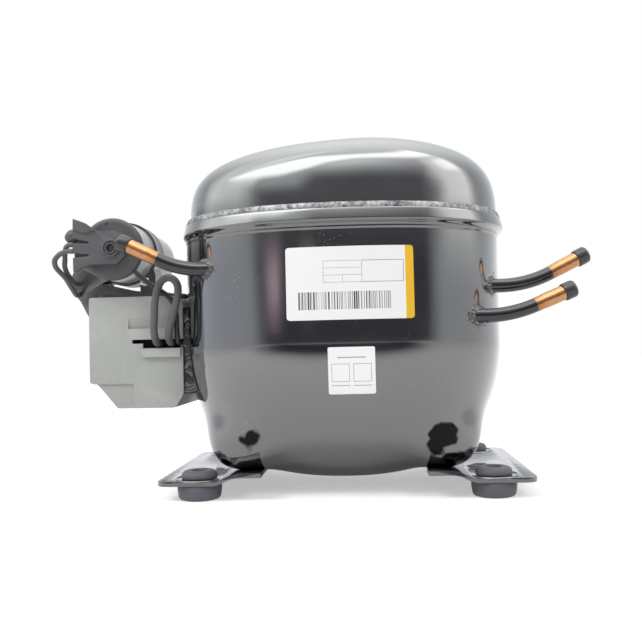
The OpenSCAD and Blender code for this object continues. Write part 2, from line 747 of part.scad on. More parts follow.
// ---- Suspension ----
spring_wire = 1.8;
spring_d = 14;
spring_turns = 5;
spring_core = spring_d - spring_wire - 1;
seat_low = spring_high - 6;
module coil_spring() {
    low = spring_low + spring_wire / 2 + seat_gap;
    high = spring_high - spring_wire / 2 - seat_gap;
    steps = 60;
    bent_tube([for (i = [0 : steps])
        let (a = i / steps * spring_turns * 360)
        [spring_d / 2 * cos(a), spring_d / 2 * sin(a), low + (high - low) * i / steps]],
        spring_wire, 6, [0, 0, 1]);
}
module suspension_springs() {
    color("#8d9093") leg_places() coil_spring();
}
module lower_spring_seats() {
    color("#77797c")
    difference() {
        intersection() {
            leg_places() {
                translate([0, 0, housing_bottom]) cylinder(h = spring_low - housing_bottom, d = spring_d + 5);
                translate([0, 0, spring_low]) cylinder(h = 3, d = spring_core);
            }
            lower_form(-housing_wall);
        }
        lower_wall();
    }
}
module upper_spring_seats() {
    color("#3b3b3d")
    leg_places() difference() {
        union() {
            translate([0, 0, spring_high]) cylinder(h = stator_low - spring_high, d = spring_d + 3);
            translate([0, 0, seat_low]) cylinder(h = spring_high - seat_low + 1, d = spring_core);
        }
        translate([0, 0, seat_low - 1])
            cylinder(h = stator_low - seat_low + 2, d = thread_d + 2 * seat_gap);
    }
}

// ---- Motor ----
module at_crank(z) {
    translate([crank_x, 0, z]) children();
}
module leg_places() {
    for (x = [-leg_x, leg_x], y = [-leg_y, leg_y])
        translate([crank_x + x, y, 0]) children();
}
slot_count = 24;
module stator_core() {
    color("#6b6e73")
    difference() {
        at_crank(stator_low) linear_extrude(stack_height)
            difference() {
                intersection() {
                    square([2 * stator_half_x, 2 * stator_half_y], center = true);
                    rotate(45) square(1.22 * (stator_half_x + stator_half_y), center = true);
                }
                circle(d = rotor_d + 2 * air_gap, $fn = 96);
                for (i = [0 : slot_count - 1])
                    rotate(i * 360 / slot_count)
                        translate([rotor_d / 2 + 2.5, -1.6]) square([10.5, 3.2]);
            }
        leg_places() translate([0, 0, stator_low - 1])
            cylinder(h = stack_height + 2, d = thread_d + 2 * seat_gap);
    }
}
module winding_ring() {
    r0 = rotor_d / 2 + 3;
    r1 = rotor_d / 2 + 14.5;
    rotate_extrude()
        polygon([[r0, 0], [r1, 0], [r1 + 1, 4], [r1, winding_height - 3],
            [r1 - 3, winding_height], [r0 + 2.5, winding_height], [r0, winding_height - 3]]);
}
module stator_windings() {
    color("#a5552c") {
        at_crank(stator_top + seat_gap) winding_ring();
        at_crank(stator_low - seat_gap) mirror([0, 0, 1]) winding_ring();
    }
}
module stator_bolts() {
    color("#85878a")
    leg_places() {
        translate([0, 0, seat_low - 3.5]) cylinder(h = 3.5 - seat_gap, d = 8, $fn = 6);
        translate([0, 0, seat_low - 3]) cylinder(h = deck_top - seat_low, d = thread_d);
    }
}
module rotor_core() {
    color("#70737a")
    at_crank(stator_low)
    difference() {
        cylinder(h = stack_height, d = rotor_d, $fn = 96);
        translate([0, 0, -1]) cylinder(h = stack_height + 2, d = shaft_d + 2 * seat_gap);
    }
}
module rotor_end_rings() {
    color("#b9bcc0")
    for (z = [stator_low - 5 - seat_gap, stator_top + seat_gap])
        at_crank(z)
        difference() {
            cylinder(h = 5, d = rotor_d - 3);
            translate([0, 0, -1]) cylinder(h = 7, d = rotor_d - 22);
        }
}
pickup_d = 11;
shaft_low = stator_low - 10;
// Shaft, web with its counterweight, and the pin; the oil ways are drilled in
module crankshaft() {
    weight_r = crank_x - block_back - 1.5;
    color("#8f9296")
    difference() {
        union() {
            at_crank(shaft_low) cylinder(h = web_z - shaft_low + 1, d = shaft_d);
            at_crank(web_z) cylinder(h = web_height, d = 2 * crank_throw + pin_d - 2);
            at_crank(web_z) intersection() {
                cylinder(h = web_height, r = weight_r);
                translate([-weight_r, -weight_r, 0]) cube([2 * weight_r, weight_r - 3, web_height]);
            }
            translate([crank_x, crank_throw, web_z]) cylinder(h = web_height + 2 * yoke_r - 4, d = pin_d);
        }
        at_crank(shaft_low - 1) cylinder(h = 31, d = pickup_d);
        translate([crank_x, link_y, web_top - 4]) cylinder(h = 5, d = plug_d + 2 * run_gap);
        translate([crank_x + 5.5, 0, shaft_low + 20]) cylinder(h = 50, d = 3);
    }
}
module thrust_washer() {
    color("#a8acb0")
    at_crank(deck_top + run_gap)
    difference() {
        cylinder(h = web_z - deck_top - run_gap, d = shaft_d + 12);
        translate([0, 0, -1]) cylinder(h = 4, d = shaft_d + 2 * seat_gap);
    }
}
// Tube pressed into the shaft's lower end, down into the oil
module oil_pickup() {
    low = housing_bottom + housing_wall + 7;
    color("#9b9ea2")
    at_crank(0)
    rotate_extrude()
        polygon([[2, low], [4, low], [pickup_d / 2 - seat_gap, low + 12],
            [pickup_d / 2 - seat_gap, shaft_low + 14], [pickup_d / 2 - 1.2, shaft_low + 14],
            [pickup_d / 2 - 1.2, low + 12.4]]);
}
module oil_gallery_plug() {
    color("#b8a86a")
    translate([crank_x, link_y, web_top - 4 + seat_gap]) cylinder(h = 3.7, d = plug_d);
}

// ---- Pump ----
module slide_block() {
    half = 10;
    color("#6f7276")
    translate([crank_x, crank_throw, pin_level])
    difference() {
        rotate([90, 0, 0]) translate([0, 0, -half]) cylinder(h = 2 * half, d = block_d);
        translate([0, 0, -block_d]) cylinder(h = 2 * block_d, d = pin_d + 2 * run_gap);
    }
}
// Yoke tube across the crank pin, with the piston on its side
module piston_yoke() {
    half = crank_throw + 12;
    slot = pin_d + 1;
    color("#8a8d91")
    difference() {
        union() {
            translate([crank_x, half, pin_level]) rotate([90, 0, 0]) cylinder(h = 2 * half, r = yoke_r);
            translate([piston_x - 2, 0, pin_level]) rotate([0, 90, 0])
                cylinder(h = crank_x - piston_x - block_d / 2, d = 12);
            translate([crown_x, 0, pin_level]) rotate([0, 90, 0])
                cylinder(h = piston_length, d = cylinder_bore - 2 * run_gap);
        }
        translate([crank_x, half + 1, pin_level]) rotate([90, 0, 0])
            cylinder(h = 2 * half + 2, d = block_d + 2 * run_gap);
        translate([crank_x - slot / 2, -crank_throw - pin_d / 2 - 0.6, pin_level - yoke_r - 1])
            cube([slot, 2 * crank_throw + pin_d + 1.2, yoke_r]);
        // the piston is hollow from its skirt end
        translate([crown_x + 5, 0, pin_level]) rotate([0, 90, 0])
            difference() {
                cylinder(h = piston_length, d = cylinder_bore - 7);
                translate([0, 0, -1]) cylinder(h = piston_length + 2, d = 12);
            }
    }
}
bolt_square = 15.5;
module head_bolt_places() {
    for (y = [-bolt_square, bolt_square], z = [-bolt_square, bolt_square])
        translate([0, y, pin_level + z]) rotate([0, 90, 0]) children();
}
head_half = 20.5;
// Casting: cylinder, deck, shaft bearing and four legs on the stator
module cylinder_block() {
    hub_low = stator_top + 3;
    color("#7d7f81")
    difference() {
        union() {
            translate([plate_x + gasket, -head_half, pin_level - head_half])
                cube([block_back - plate_x - gasket, 2 * head_half, 2 * head_half]);
            translate([plate_x + gasket, -head_half, deck_z])
                cube([block_back - plate_x - gasket, 2 * head_half, pin_level - deck_z]);
            translate([plate_x + gasket, -head_half, deck_z])
                cube([crank_x - plate_x + 26, 2 * head_half, deck_sheet]);
            for (side = [-1, 1])
                translate([crank_x - leg_x - 7, side * leg_y - 7, deck_z])
                    cube([2 * leg_x + 14, 14, deck_sheet]);
            for (x = [-1, 1])
                translate([crank_x + x * leg_x - 7, -leg_y, deck_z]) cube([14, 2 * leg_y, deck_sheet]);
            leg_places() translate([0, 0, stator_top]) cylinder(h = deck_z - stator_top + 1, d = 14);
            at_crank(hub_low) cylinder(h = deck_z - hub_low + 1, d = shaft_d + 16);
        }
        translate([plate_x - 1, 0, pin_level]) rotate([0, 90, 0])
            cylinder(h = block_back - plate_x + 2, d = cylinder_bore);
        at_crank(hub_low - 1) cylinder(h = deck_top - hub_low + 2, d = shaft_d + 2 * run_gap);
        leg_places() translate([0, 0, stator_top - 1])
            cylinder(h = deck_top - stator_top + 2, d = thread_d + 2 * seat_gap);
        translate([plate_x, 0, 0]) head_bolt_places()
            cylinder(h = 24, d = thread_d - 1 + 2 * seat_gap);
    }
}
module square_plate(x, depth, g) {
    translate([x, -head_half + g, pin_level - head_half + g])
        cube([depth, 2 * (head_half - g), 2 * (head_half - g)]);
}
module bolt_holes(x, depth) {
    translate([x - 1, 0, 0]) head_bolt_places() cylinder(h = depth + 2, d = thread_d - 1 + 2 * seat_gap);
}
module cylinder_gasket() {
    color("#59615a")
    difference() {
        square_plate(plate_x, gasket, 0);
        translate([plate_x - 1, 0, pin_level]) rotate([0, 90, 0]) cylinder(h = 3, d = cylinder_bore + 0.6);
        bolt_holes(plate_x, gasket);
    }
}
port_y = 5;
reed_reach = 19;
reed_low = pin_level - reed_reach / 2 - 1;
rib_half = 1.5;
leaf_half = port_y - rib_half - 0.2;
module valve_plate_body() {
    color("#9fa2a5")
    difference() {
        square_plate(plate_x - valve_plate, valve_plate, 0);
        for (port = [[port_y, 6], [-port_y, 4.4]])
            translate([plate_x - valve_plate - 1, port[0], pin_level + 4])
                rotate([0, 90, 0]) cylinder(h = valve_plate + 2, d = port[1]);
        bolt_holes(plate_x - valve_plate, valve_plate);
    }
}
module suction_reed() {
    color("#b0b7bd")
    translate([plate_x, port_y - 4, reed_low]) cube([reed, 8, reed_reach]);
}
module discharge_reed() {
    color("#b0b7bd")
    translate([plate_x - valve_plate - reed, -port_y - leaf_half, reed_low])
        cube([reed, 2 * leaf_half, reed_reach]);
}
stop_lift = 1.4;
module valve_stop() {
    x = plate_x - valve_plate - reed - stop_lift;
    width = 2 * leaf_half;
    color("#8b8e92")
    translate([x, -port_y - leaf_half, reed_low]) {
        translate([-1.2, 0, -4]) cube([1.2, width, reed_reach + 7]);
        translate([-0.5, 0, -4]) cube([stop_lift + reed + 0.5, width, 3.7]);
        translate([-0.5, 0, reed_reach + 0.3]) cube([stop_lift + reed + 0.5, width, 2.7]);
    }
}
// The suction and discharge chambers, with a rib between them
module head_rooms(x, depth) {
    outer = head_half - 8.5;
    for (y = [rib_half, -outer])
        translate([x, y, pin_level - 17]) cube([depth, outer - rib_half, 34]);
}
module cylinder_head() {
    color("#a9abae")
    difference() {
        square_plate(head_x - head_depth, head_depth, 0);
        head_rooms(head_x - head_depth + 3.5, head_depth);
        bolt_holes(head_x - head_depth, head_depth);
        translate([head_x - head_depth / 2, 7, pin_level]) cylinder(h = 30, d = 8);
    }
}
module head_gasket() {
    color("#59615a")
    difference() {
        square_plate(head_x, gasket, 0);
        head_rooms(head_x - 1, 3);
        bolt_holes(head_x, gasket);
    }
}
module head_bolts() {
    reach = head_depth + gasket + valve_plate + gasket + 18;
    color("#85878a")
    translate([head_x - head_depth - 4, 0, 0]) head_bolt_places() {
        cylinder(h = 4 - seat_gap, d = 7.5, $fn = 6);
        translate([0, 0, 1]) cylinder(h = reach + 3, d = thread_d - 1);
    }
}
// Moulded muffler over the head; its spout goes down into the suction chamber
module suction_muffler() {
    base = pin_level + head_half + seat_gap;
    color("#c9c6b8")
    difference() {
        union() {
            translate([head_x - head_depth + 2, -20, base]) cube([34, 40, 13]);
            translate([head_x - head_depth / 2, 7, base - 5]) cylinder(h = 8, d = 8 - 2 * seat_gap);
        }
        translate([head_x - head_depth + 4, -18, base + 2]) cube([30, 36, 9]);
        translate([head_x - head_depth / 2, 7, base - 6]) cylinder(h = 10, d = 5.5);
        translate([head_x + 19, -8, base + 6]) rotate([90, 0, 0]) cylinder(h = 30, d = 7);
    }
}
muffler_x = crank_x + 30;
muffler_y = -head_half - 14;
module discharge_muffler() {
    r = 12;
    color("#8c6a3c")
    translate([muffler_x, muffler_y, deck_top + seat_gap])
    rotate_extrude()
        polygon([[0, 0], [r, 0], [r, 20], [r - 4, 26], [0, 26], [0, 24], [r - 5, 24],
            [r - 2, 19], [r - 2, 2], [0, 2]]);
}
line_d = 4.8;
line_path = concat(
    [for (p = [[0, -12.3, 18], [0, -16.5, 18], [-2, -22.5, 17.5], [-7, -26.5, 17], [-15, -28.5, 16],
        [-26, -29.5, 15], [-38, -29.5, 14], [-50, -28.5, 12]])
        p + [muffler_x, muffler_y, deck_top]],
    [for (p = [[40, -7, 9], [30, -4.5, 6], [23, -2, 2.5], [18, -0.5, 0.5], [12.2, 0, 0]])
        p + discharge_exit]);
module discharge_line() {
    color("#b5713f") bent_tube(line_path, line_d, 8, [0, 0, 1]);
}
module motor_plug() {
    color("#e3ded0")
    difference() {
        translate([-header_in + seat_gap + 1.2, -14, header_z - 13]) cube([11, 28, 26]);
        for (a = pin_angles)
            translate([-header_in, pin_circle * cos(a), header_z + pin_circle * sin(a)])
                rotate([0, 90, 0]) cylinder(h = 9, d = terminal_pin_d + 2 * seat_gap);
    }
}
lead_start = [12.3 - header_in, 0, header_z];
lead_end = [crank_x - rotor_d / 2 - 15.6, 0, stator_top + winding_height / 2];
motor_lead_path = [for (p = [[0, 0], [0.14, 0], [0.28, 0.11], [0.39, 0.32], [0.5, 0.58], [0.63, 0.82],
    [0.77, 0.95], [0.88, 1], [1, 1]])
    [lead_start[0] + p[0] * (lead_end[0] - lead_start[0]), 0,
        lead_start[2] + p[1] * (lead_end[2] - lead_start[2])]];
module motor_leads() {
    color("#3f4a8a")
    for (y = [-7, 0, 7]) translate([0, y, 0]) bent_tube(motor_lead_path, 2.6, 6, [0, 1, 0]);
}

lower_housing();
upper_housing();
housing_weld();
left_foot_plate();
right_foot_plate();
foot_grommets();
suction_tube();
process_tube();
discharge_tube();
tube_braze_rings();
suction_tube_cap();
process_tube_cap();
discharge_tube_cap();
terminal_header();
terminal_pins();
pin_glass_seals();
terminal_fence();
start_relay();
overload_protector();
relay_cover();
capacitor_can();
capacitor_end_cap();
capacitor_bracket();
capacitor_strap();
strap_screw();
relay_lead();
capacitor_leads();
rating_label();
approval_label();
suspension_springs();
lower_spring_seats();
upper_spring_seats();
stator_core();
stator_windings();
stator_bolts();
rotor_core();
rotor_end_rings();
crankshaft();
thrust_washer();
oil_pickup();
oil_gallery_plug();
slide_block();
piston_yoke();
cylinder_block();
cylinder_gasket();
valve_plate_body();
suction_reed();
discharge_reed();
valve_stop();
head_gasket();
cylinder_head();
head_bolts();
suction_muffler();
discharge_muffler();
discharge_line();
motor_plug();
motor_leads();
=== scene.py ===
"""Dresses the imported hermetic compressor: finer forms, finishes, floor, lamps and camera.

Sizes are given in millimetres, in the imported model's frame, and turned into metres when a
mesh is made.
-X is the electrical side, +X the side with two tubes, -Y the labelled side, +Z up.
"""

import json
import random
from math import (atan, atan2, copysign, cos, degrees, exp, hypot, pi, radians, sin, sqrt,
                  tan)

import bmesh
import bpy
from mathutils import Matrix, Vector, noise
from mathutils.bvhtree import BVHTree

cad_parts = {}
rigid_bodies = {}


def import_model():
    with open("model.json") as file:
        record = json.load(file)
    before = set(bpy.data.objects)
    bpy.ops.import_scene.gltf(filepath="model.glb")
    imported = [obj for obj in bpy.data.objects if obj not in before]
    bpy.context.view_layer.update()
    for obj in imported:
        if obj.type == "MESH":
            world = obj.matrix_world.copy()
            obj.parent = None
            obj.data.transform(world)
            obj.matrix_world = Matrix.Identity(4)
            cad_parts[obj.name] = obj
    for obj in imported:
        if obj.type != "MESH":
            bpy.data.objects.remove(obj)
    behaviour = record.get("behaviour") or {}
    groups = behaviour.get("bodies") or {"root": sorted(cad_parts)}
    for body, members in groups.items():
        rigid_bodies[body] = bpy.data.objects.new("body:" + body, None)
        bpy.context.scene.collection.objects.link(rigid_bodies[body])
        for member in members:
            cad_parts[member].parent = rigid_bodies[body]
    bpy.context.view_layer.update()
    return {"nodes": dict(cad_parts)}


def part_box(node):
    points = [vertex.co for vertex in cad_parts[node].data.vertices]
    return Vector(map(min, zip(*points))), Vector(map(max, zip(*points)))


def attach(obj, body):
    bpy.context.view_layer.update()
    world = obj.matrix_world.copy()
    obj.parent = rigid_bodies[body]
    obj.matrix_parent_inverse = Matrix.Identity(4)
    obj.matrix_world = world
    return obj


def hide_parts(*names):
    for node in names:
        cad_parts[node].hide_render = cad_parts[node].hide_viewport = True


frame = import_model()

bl_info = {
    "name": "Hermetic compressor",
    "version": (1, 0, 0),
    "blender": (4, 5, 0),
    "location": "View3D > Sidebar > Compressor",
    "description": "Builds a hermetic refrigeration compressor piece by piece",
    "category": "Add Mesh",
}

MM = 0.001
SEED = 11
Z_AXIS = Vector((0, 0, 1))


def cad_box_mm(name):
    """Lowest and highest corner of a CAD node, in millimetres."""
    low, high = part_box(name)
    return low / MM, high / MM


# ---- Sizes of the housing in millimetres, the same as the CAD part's own ----
BOWL_LOW, BOWL_HIGH = cad_box_mm("lower_housing")
FLARE_Z = 146.0
RIM_TOP = BOWL_HIGH.z
LEDGE_Z = FLARE_Z + 5
SHOULDER_Z = FLARE_Z + 6
RIM_LEAN = 1.5
RIM_X = BOWL_HIGH.x
RIM_Y = BOWL_HIGH.y
HALF_LEFT = RIM_X - 1.8
HALF_RIGHT = HALF_LEFT - 2
HALF_WIDTH = RIM_Y - 3.8
BOTTOM_Z = BOWL_LOW.z
ROUND_TOP = 92.0
WALL = 3.0
SKIRT_INSET = 3.15
DOME_INSET_LEFT = 1.6
DOME_INSET_RIGHT = 0.6
DOME_HEIGHT = 53.4
DOME_PEAK_X = 20.0
DOME_SLOPE_LEFT = 0.075
DOME_SLOPE_RIGHT = 0.03
DOME_CREST = 15.0
DOME_POWER_LEFT = 4.2
DOME_POWER_RIGHT = 3.7
OUTLINE_POWER = 2.35
BOTTOM_POWER = 2.5
LOBE_PUSH = 16.0
LOBE_ANGLE = 38.0
LOBE_HEIGHT_ANGLE = 40.0
LOBE_SPREAD = 14.0
RING_STEPS = 240

# ---- Mounting, tubes and electrical side ----
HOLE_X = 165.1 / 2
HOLE_Y = 101.6 / 2
COVER_LOW, COVER_HIGH = cad_box_mm("relay_cover")
COVER_LEFT, COVER_RIGHT = COVER_LOW.x, -HALF_LEFT + 0.5
COVER_BOTTOM, COVER_TOP = COVER_LOW.z, COVER_HIGH.z
COVER_FRONT, COVER_BACK = -30.0, COVER_HIGH.y
COVER_WALL = 2.0
SLOT_Z = COVER_BOTTOM + 35.5
CAN_X = COVER_RIGHT - 39.5
CAN_Z = COVER_TOP + 28
CAN_FRONT = COVER_FRONT - 6
CAN_R = 18.25
CAN_LENGTH = 76.0
CAN_AT = (CAN_X, CAN_FRONT, CAN_Z)
SLOT_AT = (COVER_RIGHT, COVER_FRONT, SLOT_Z)
EAR_Z = COVER_TOP + 4.2

LAY_ALONG_X = Matrix.Rotation(pi / 2, 4, "Y")
LAY_ALONG_Y = Matrix.Rotation(-pi / 2, 4, "X")
AT_CAN = Matrix.Translation(CAN_AT) @ LAY_ALONG_Y
AT_HUB = Matrix.Translation((CAN_X + 1, CAN_FRONT, CAN_Z)) @ LAY_ALONG_Y


def wall_x(y, half):
    """Where the upright wall stands along X, at a distance y from the middle."""
    return half * (1 - abs(y / HALF_WIDTH) ** OUTLINE_POWER) ** (1 / OUTLINE_POWER)


def behind_wall(y, z, half, sink):
    """A tube's start, a little behind the wall on the given side."""
    x = wall_x(y, abs(half)) - sink
    return (copysign(x, half), y, z)


# exit, turn about Z, first straight, bend angle, last straight, bend radius, bare copper
TUBES = {
    "suction": (behind_wall(40 - HALF_WIDTH, FLARE_Z - 29, HALF_RIGHT, 2.4),
                10, 7, 26, 22, 70, 22.5),
    "process": (behind_wall(26 - HALF_WIDTH, FLARE_Z - 46.5, HALF_RIGHT, 4.5),
                8, 9, 22, 22, 76, 22.5),
    "discharge": (behind_wall(25 - HALF_WIDTH, FLARE_Z - 16, -HALF_LEFT, 9.1),
                  180, 10, 26, 25, 55, 23.0),
}
TUBE_R = 4.0
SOCKET_R = 4.2
SOCKET_BORE_R = 3.25
SOCKET_DEPTH = 14.0
SWELL_LENGTH = 18.5
SWELL_SLOPE = 2.5
TUBE_SIDES = 40
CAP_R = 5.0
CAP_COVER = 5.0
CAP_LENGTH = 7.5

# ---- Image points, in the photograph's frame of 642 x 642 ----
FRAME_W = 642
FRAME_H = 642
IMAGE_POINTS = {
    "left_edge": (52.0, None),
    "right_edge": (590.0, None),
    "top_edge": (None, 138.0),
    "bottom_edge": (None, 502.5),
    "weld_front": (364.0, 200.3),
    "upper_cap_tip": (589.0, 257.5),
    "lower_cap_tip": (575.0, 289.0),
    "left_grommet_foot": (198.8, 502.3),
    "right_grommet_foot": (491.0, 497.5),
    "cover_top_left": (87.5, 297.5),
    "cover_right": (186.0, None),
    "rating_top_left": (284.3, 246.0),
    "rating_low_right": (414.4, 319.6),
    "stripe_left": (405.5, 283.0),
    "bars_low_left": (298.7, 310.4),
    "table_top_left": (322.6, 261.0),
    "table_low_right": (403.7, 281.0),
    "approval_top_left": (327.5, 347.0),
    "approval_low_right": (375.5, 394.5),
    "end_cap_dot": (106.5, 223.6),
}


# ---- Properties that a user would change ----
class CompressorPaint(bpy.types.PropertyGroup):
    """Colours and finish of the painted and bare outside."""

    paint_color: bpy.props.FloatVectorProperty(
        name="Paint colour", description="Gloss black paint on the housing",
        subtype="COLOR", size=3, min=0, max=1, default=(0.008, 0.009, 0.012))
    paint_rough: bpy.props.FloatProperty(
        name="Paint roughness", description="Roughness of the gloss paint",
        subtype="FACTOR", min=0, max=1, default=0.09)
    copper_color: bpy.props.FloatVectorProperty(
        name="Copper colour", description="Bare copper at the tube ends",
        subtype="COLOR", size=3, min=0, max=1, default=(0.50, 0.24, 0.11))
    rubber_color: bpy.props.FloatVectorProperty(
        name="Grommet colour", description="Rubber of the four grommets",
        subtype="COLOR", size=3, min=0, max=1, default=(0.098, 0.09, 0.112))


class CompressorElectrics(bpy.types.PropertyGroup):
    """Colours of the relay cover, the capacitor and the leads."""

    cover_color: bpy.props.FloatVectorProperty(
        name="Cover colour", description="Moulded grey relay cover",
        subtype="COLOR", size=3, min=0, max=1, default=(0.385, 0.395, 0.38))
    end_cap_color: bpy.props.FloatVectorProperty(
        name="End cap colour", description="Dark moulded cap of the capacitor",
        subtype="COLOR", size=3, min=0, max=1, default=(0.075, 0.075, 0.08))
    lead_color: bpy.props.FloatVectorProperty(
        name="Lead colour", description="Grey sleeve of the thick leads",
        subtype="COLOR", size=3, min=0, max=1, default=(0.10, 0.10, 0.102))
    lead_width: bpy.props.FloatProperty(
        name="Lead width", description="Diameter of the thick leads",
        subtype="DISTANCE", unit="LENGTH", min=0.003, max=0.006, default=0.0044)


class CompressorStage(bpy.types.PropertyGroup):
    """Floor, lamps and camera."""

    floor_color: bpy.props.FloatVectorProperty(
        name="Floor colour", description="Plain pale floor",
        subtype="COLOR", size=3, min=0, max=1, default=(0.86, 0.86, 0.86))
    sky_strength: bpy.props.FloatProperty(
        name="Room light", description="Even light from all round",
        min=0, max=2, default=0.62)
    camera_lens: bpy.props.FloatProperty(
        name="Lens", description="Focal length of the camera in millimetres",
        subtype="DISTANCE_CAMERA", unit="CAMERA", min=20, max=120, default=44.62)


def paint():
    return bpy.context.scene.compressor_paint


def electrics():
    return bpy.context.scene.compressor_electrics


def stage_look():
    return bpy.context.scene.compressor_stage


# ---- Shape of the housing ----
def signed_outline(angle, left, right, width):
    c, s = cos(angle), sin(angle)
    end = left if c < 0 else right
    total = abs(c / end) ** OUTLINE_POWER + abs(s / width) ** OUTLINE_POWER
    return total ** (-1 / OUTLINE_POWER)


def bowl_radius(angle, grow=0.0):
    return signed_outline(angle, HALF_LEFT + grow, HALF_RIGHT + grow, HALF_WIDTH + grow)


def rim_radius(angle, grow=0.0):
    return signed_outline(angle, RIM_X + grow, RIM_X + grow, RIM_Y + grow)


def dome_radius(angle, grow=0.0):
    length = RIM_X - SKIRT_INSET + grow
    return signed_outline(angle, length - DOME_INSET_LEFT, length - DOME_INSET_RIGHT,
                          RIM_Y - SKIRT_INSET - DOME_INSET_RIGHT + grow)


def dome_rise(x):
    d = x - DOME_PEAK_X
    mean = (DOME_SLOPE_LEFT + DOME_SLOPE_RIGHT) / 2
    lean = (DOME_SLOPE_LEFT - DOME_SLOPE_RIGHT) / 2
    return DOME_HEIGHT - mean * (hypot(d, DOME_CREST) - DOME_CREST) + lean * d


def lobe(angle, tilt):
    """How far the bowl's four low lobes stand out."""
    turn = degrees(angle) % 180
    turn = 180 - turn if turn > 90 else turn
    return (LOBE_PUSH * exp(-((turn - LOBE_ANGLE) / LOBE_SPREAD) ** 2)
            * exp(-((tilt - LOBE_HEIGHT_ANGLE) / LOBE_SPREAD) ** 2))


def round_angles(steps=RING_STEPS):
    return [2 * pi * i / steps for i in range(steps)]


def polar(r, a, z):
    """A place at radius r and angle a about Z."""
    return Vector((r * cos(a), r * sin(a), z))


def bottom_ring(tilt, grow=0.0):
    t = radians(tilt)
    spread, drop = cos(t) ** (2 / BOTTOM_POWER), sin(t) ** (2 / BOTTOM_POWER)
    ring = []
    for a in round_angles():
        push = lobe(a, tilt)
        r = bowl_radius(a, grow) * spread + push * cos(t)
        z = ROUND_TOP - (ROUND_TOP - BOTTOM_Z + grow) * drop - push * sin(t)
        ring.append(polar(r, a, z))
    return ring


def dome_ring(tilt, grow=0.0):
    t = radians(tilt)
    ring = []
    for a in round_angles():
        power = ((DOME_POWER_LEFT + DOME_POWER_RIGHT) / 2
                 - (DOME_POWER_LEFT - DOME_POWER_RIGHT) / 2 * cos(a))
        r = dome_radius(a, grow) * cos(t) ** (2 / power)
        rise = (dome_rise(r * cos(a)) + grow) * sin(t) ** (2 / power)
        ring.append(polar(r, a, SHOULDER_Z + rise))
    return ring


def smooth_step(t):
    t = max(0.0, min(1.0, t))
    return t * t * (3 - 2 * t)


# ---- Making meshes ----
def new_piece(name, part, *finishes, sharp=35, face_slots=None):
    """A mesh object from points in millimetres; smooth, with edges over `sharp` degrees kept."""
    points, faces = part
    mesh = bpy.data.meshes.new(name)
    mesh.from_pydata([tuple(Vector(p) * MM) for p in points], [], faces)
    for finish in finishes:
        mesh.materials.append(FINISHES[finish])
    if face_slots:
        mesh.polygons.foreach_set("material_index", face_slots)
    tidy_mesh(mesh, sharp)
    piece = bpy.data.objects.new(name, mesh)
    bpy.context.scene.collection.objects.link(piece)
    return piece


def shade_smooth(mesh, sharp):
    mesh.polygons.foreach_set("use_smooth", [True] * len(mesh.polygons))
    mesh.set_sharp_from_angle(angle=radians(sharp))


def tidy_mesh(mesh, sharp=35):
    """Turns all faces outwards and shades them smooth, up to the given angle."""
    work = bmesh.new()
    work.from_mesh(mesh)
    bmesh.ops.remove_doubles(work, verts=work.verts, dist=1e-7)
    bmesh.ops.recalc_face_normals(work, faces=work.faces)
    work.to_mesh(mesh)
    work.free()
    shade_smooth(mesh, sharp)
    mesh.update()


def loft(rings, loop=False, first=None, last=None):
    """Points and faces of a skin over rings; loop joins the last ring to the first."""
    count = len(rings[0])
    points = [p for ring in rings for p in ring]
    faces = []
    for k in range(len(rings) if loop else len(rings) - 1):
        a, b = k * count, (k + 1) % len(rings) * count
        for i in range(count):
            j = (i + 1) % count
            faces.append((a + i, a + j, b + j, b + i))
    for centre, base in ((first, 0), (last, (len(rings) - 1) * count)):
        if centre is not None:
            tip = len(points)
            points.append(Vector(centre))
            faces += [(base + i, base + (i + 1) % count, tip) for i in range(count)]
    return points, faces


def joined(parts):
    """One set of points and faces from several."""
    points, faces = [], []
    for some_points, some_faces in parts:
        base = len(points)
        points.extend(some_points)
        faces.extend(tuple(base + i for i in face) for face in some_faces)
    return points, faces


def placed(part, matrix):
    return [matrix @ Vector(p) for p in part[0]], part[1]


def lathe(profile, steps=96):
    """A turned form about Z from (radius, z) pairs; a radius of 0 closes it at that end."""
    rings = [[polar(r, a, z) for a in round_angles(steps)] for r, z in profile if r > 0]
    first, last = [None if r > 0 else (0, 0, z) for r, z in (profile[0], profile[-1])]
    return loft(rings, loop=first is None and last is None, first=first, last=last)


def rounded(corners, radius=0.6, steps=4):
    """A polygon's corners rounded; radius may be one number or one for each corner."""
    sizes = radius if isinstance(radius, list) else [radius] * len(corners)
    out = []
    for i, (corner, size) in enumerate(zip(corners, sizes)):
        here = Vector(corner)
        before = Vector(corners[i - 1]) - here
        after = Vector(corners[(i + 1) % len(corners)]) - here
        size = min(size, before.length * 0.45, after.length * 0.45)
        a, b = here + before.normalized() * size, here + after.normalized() * size
        for s in range(steps + 1):
            t = s / steps
            out.append(tuple((1 - t) ** 2 * a + 2 * t * (1 - t) * here + t * t * b))
    return out


def prism(outline, low, high, axis="y"):
    """A polygon drawn out along an axis, from its two other coordinates."""
    count = len(outline)
    put = {"y": lambda p, h: Vector((p[0], h, p[1])),
           "z": lambda p, h: Vector((p[0], p[1], h)),
           "x": lambda p, h: Vector((h, p[0], p[1]))}[axis]
    points = [put(p, h) for h in (low, high) for p in outline]
    faces = [tuple(range(count)), tuple(range(2 * count - 1, count - 1, -1))]
    for i in range(count):
        j = (i + 1) % count
        faces.append((i, j, count + j, count + i))
    return points, faces


def block(low, high):
    """A box between two corners."""
    outline = [(low[0], low[2]), (high[0], low[2]), (high[0], high[2]), (low[0], high[2])]
    return prism(outline, low[1], high[1])


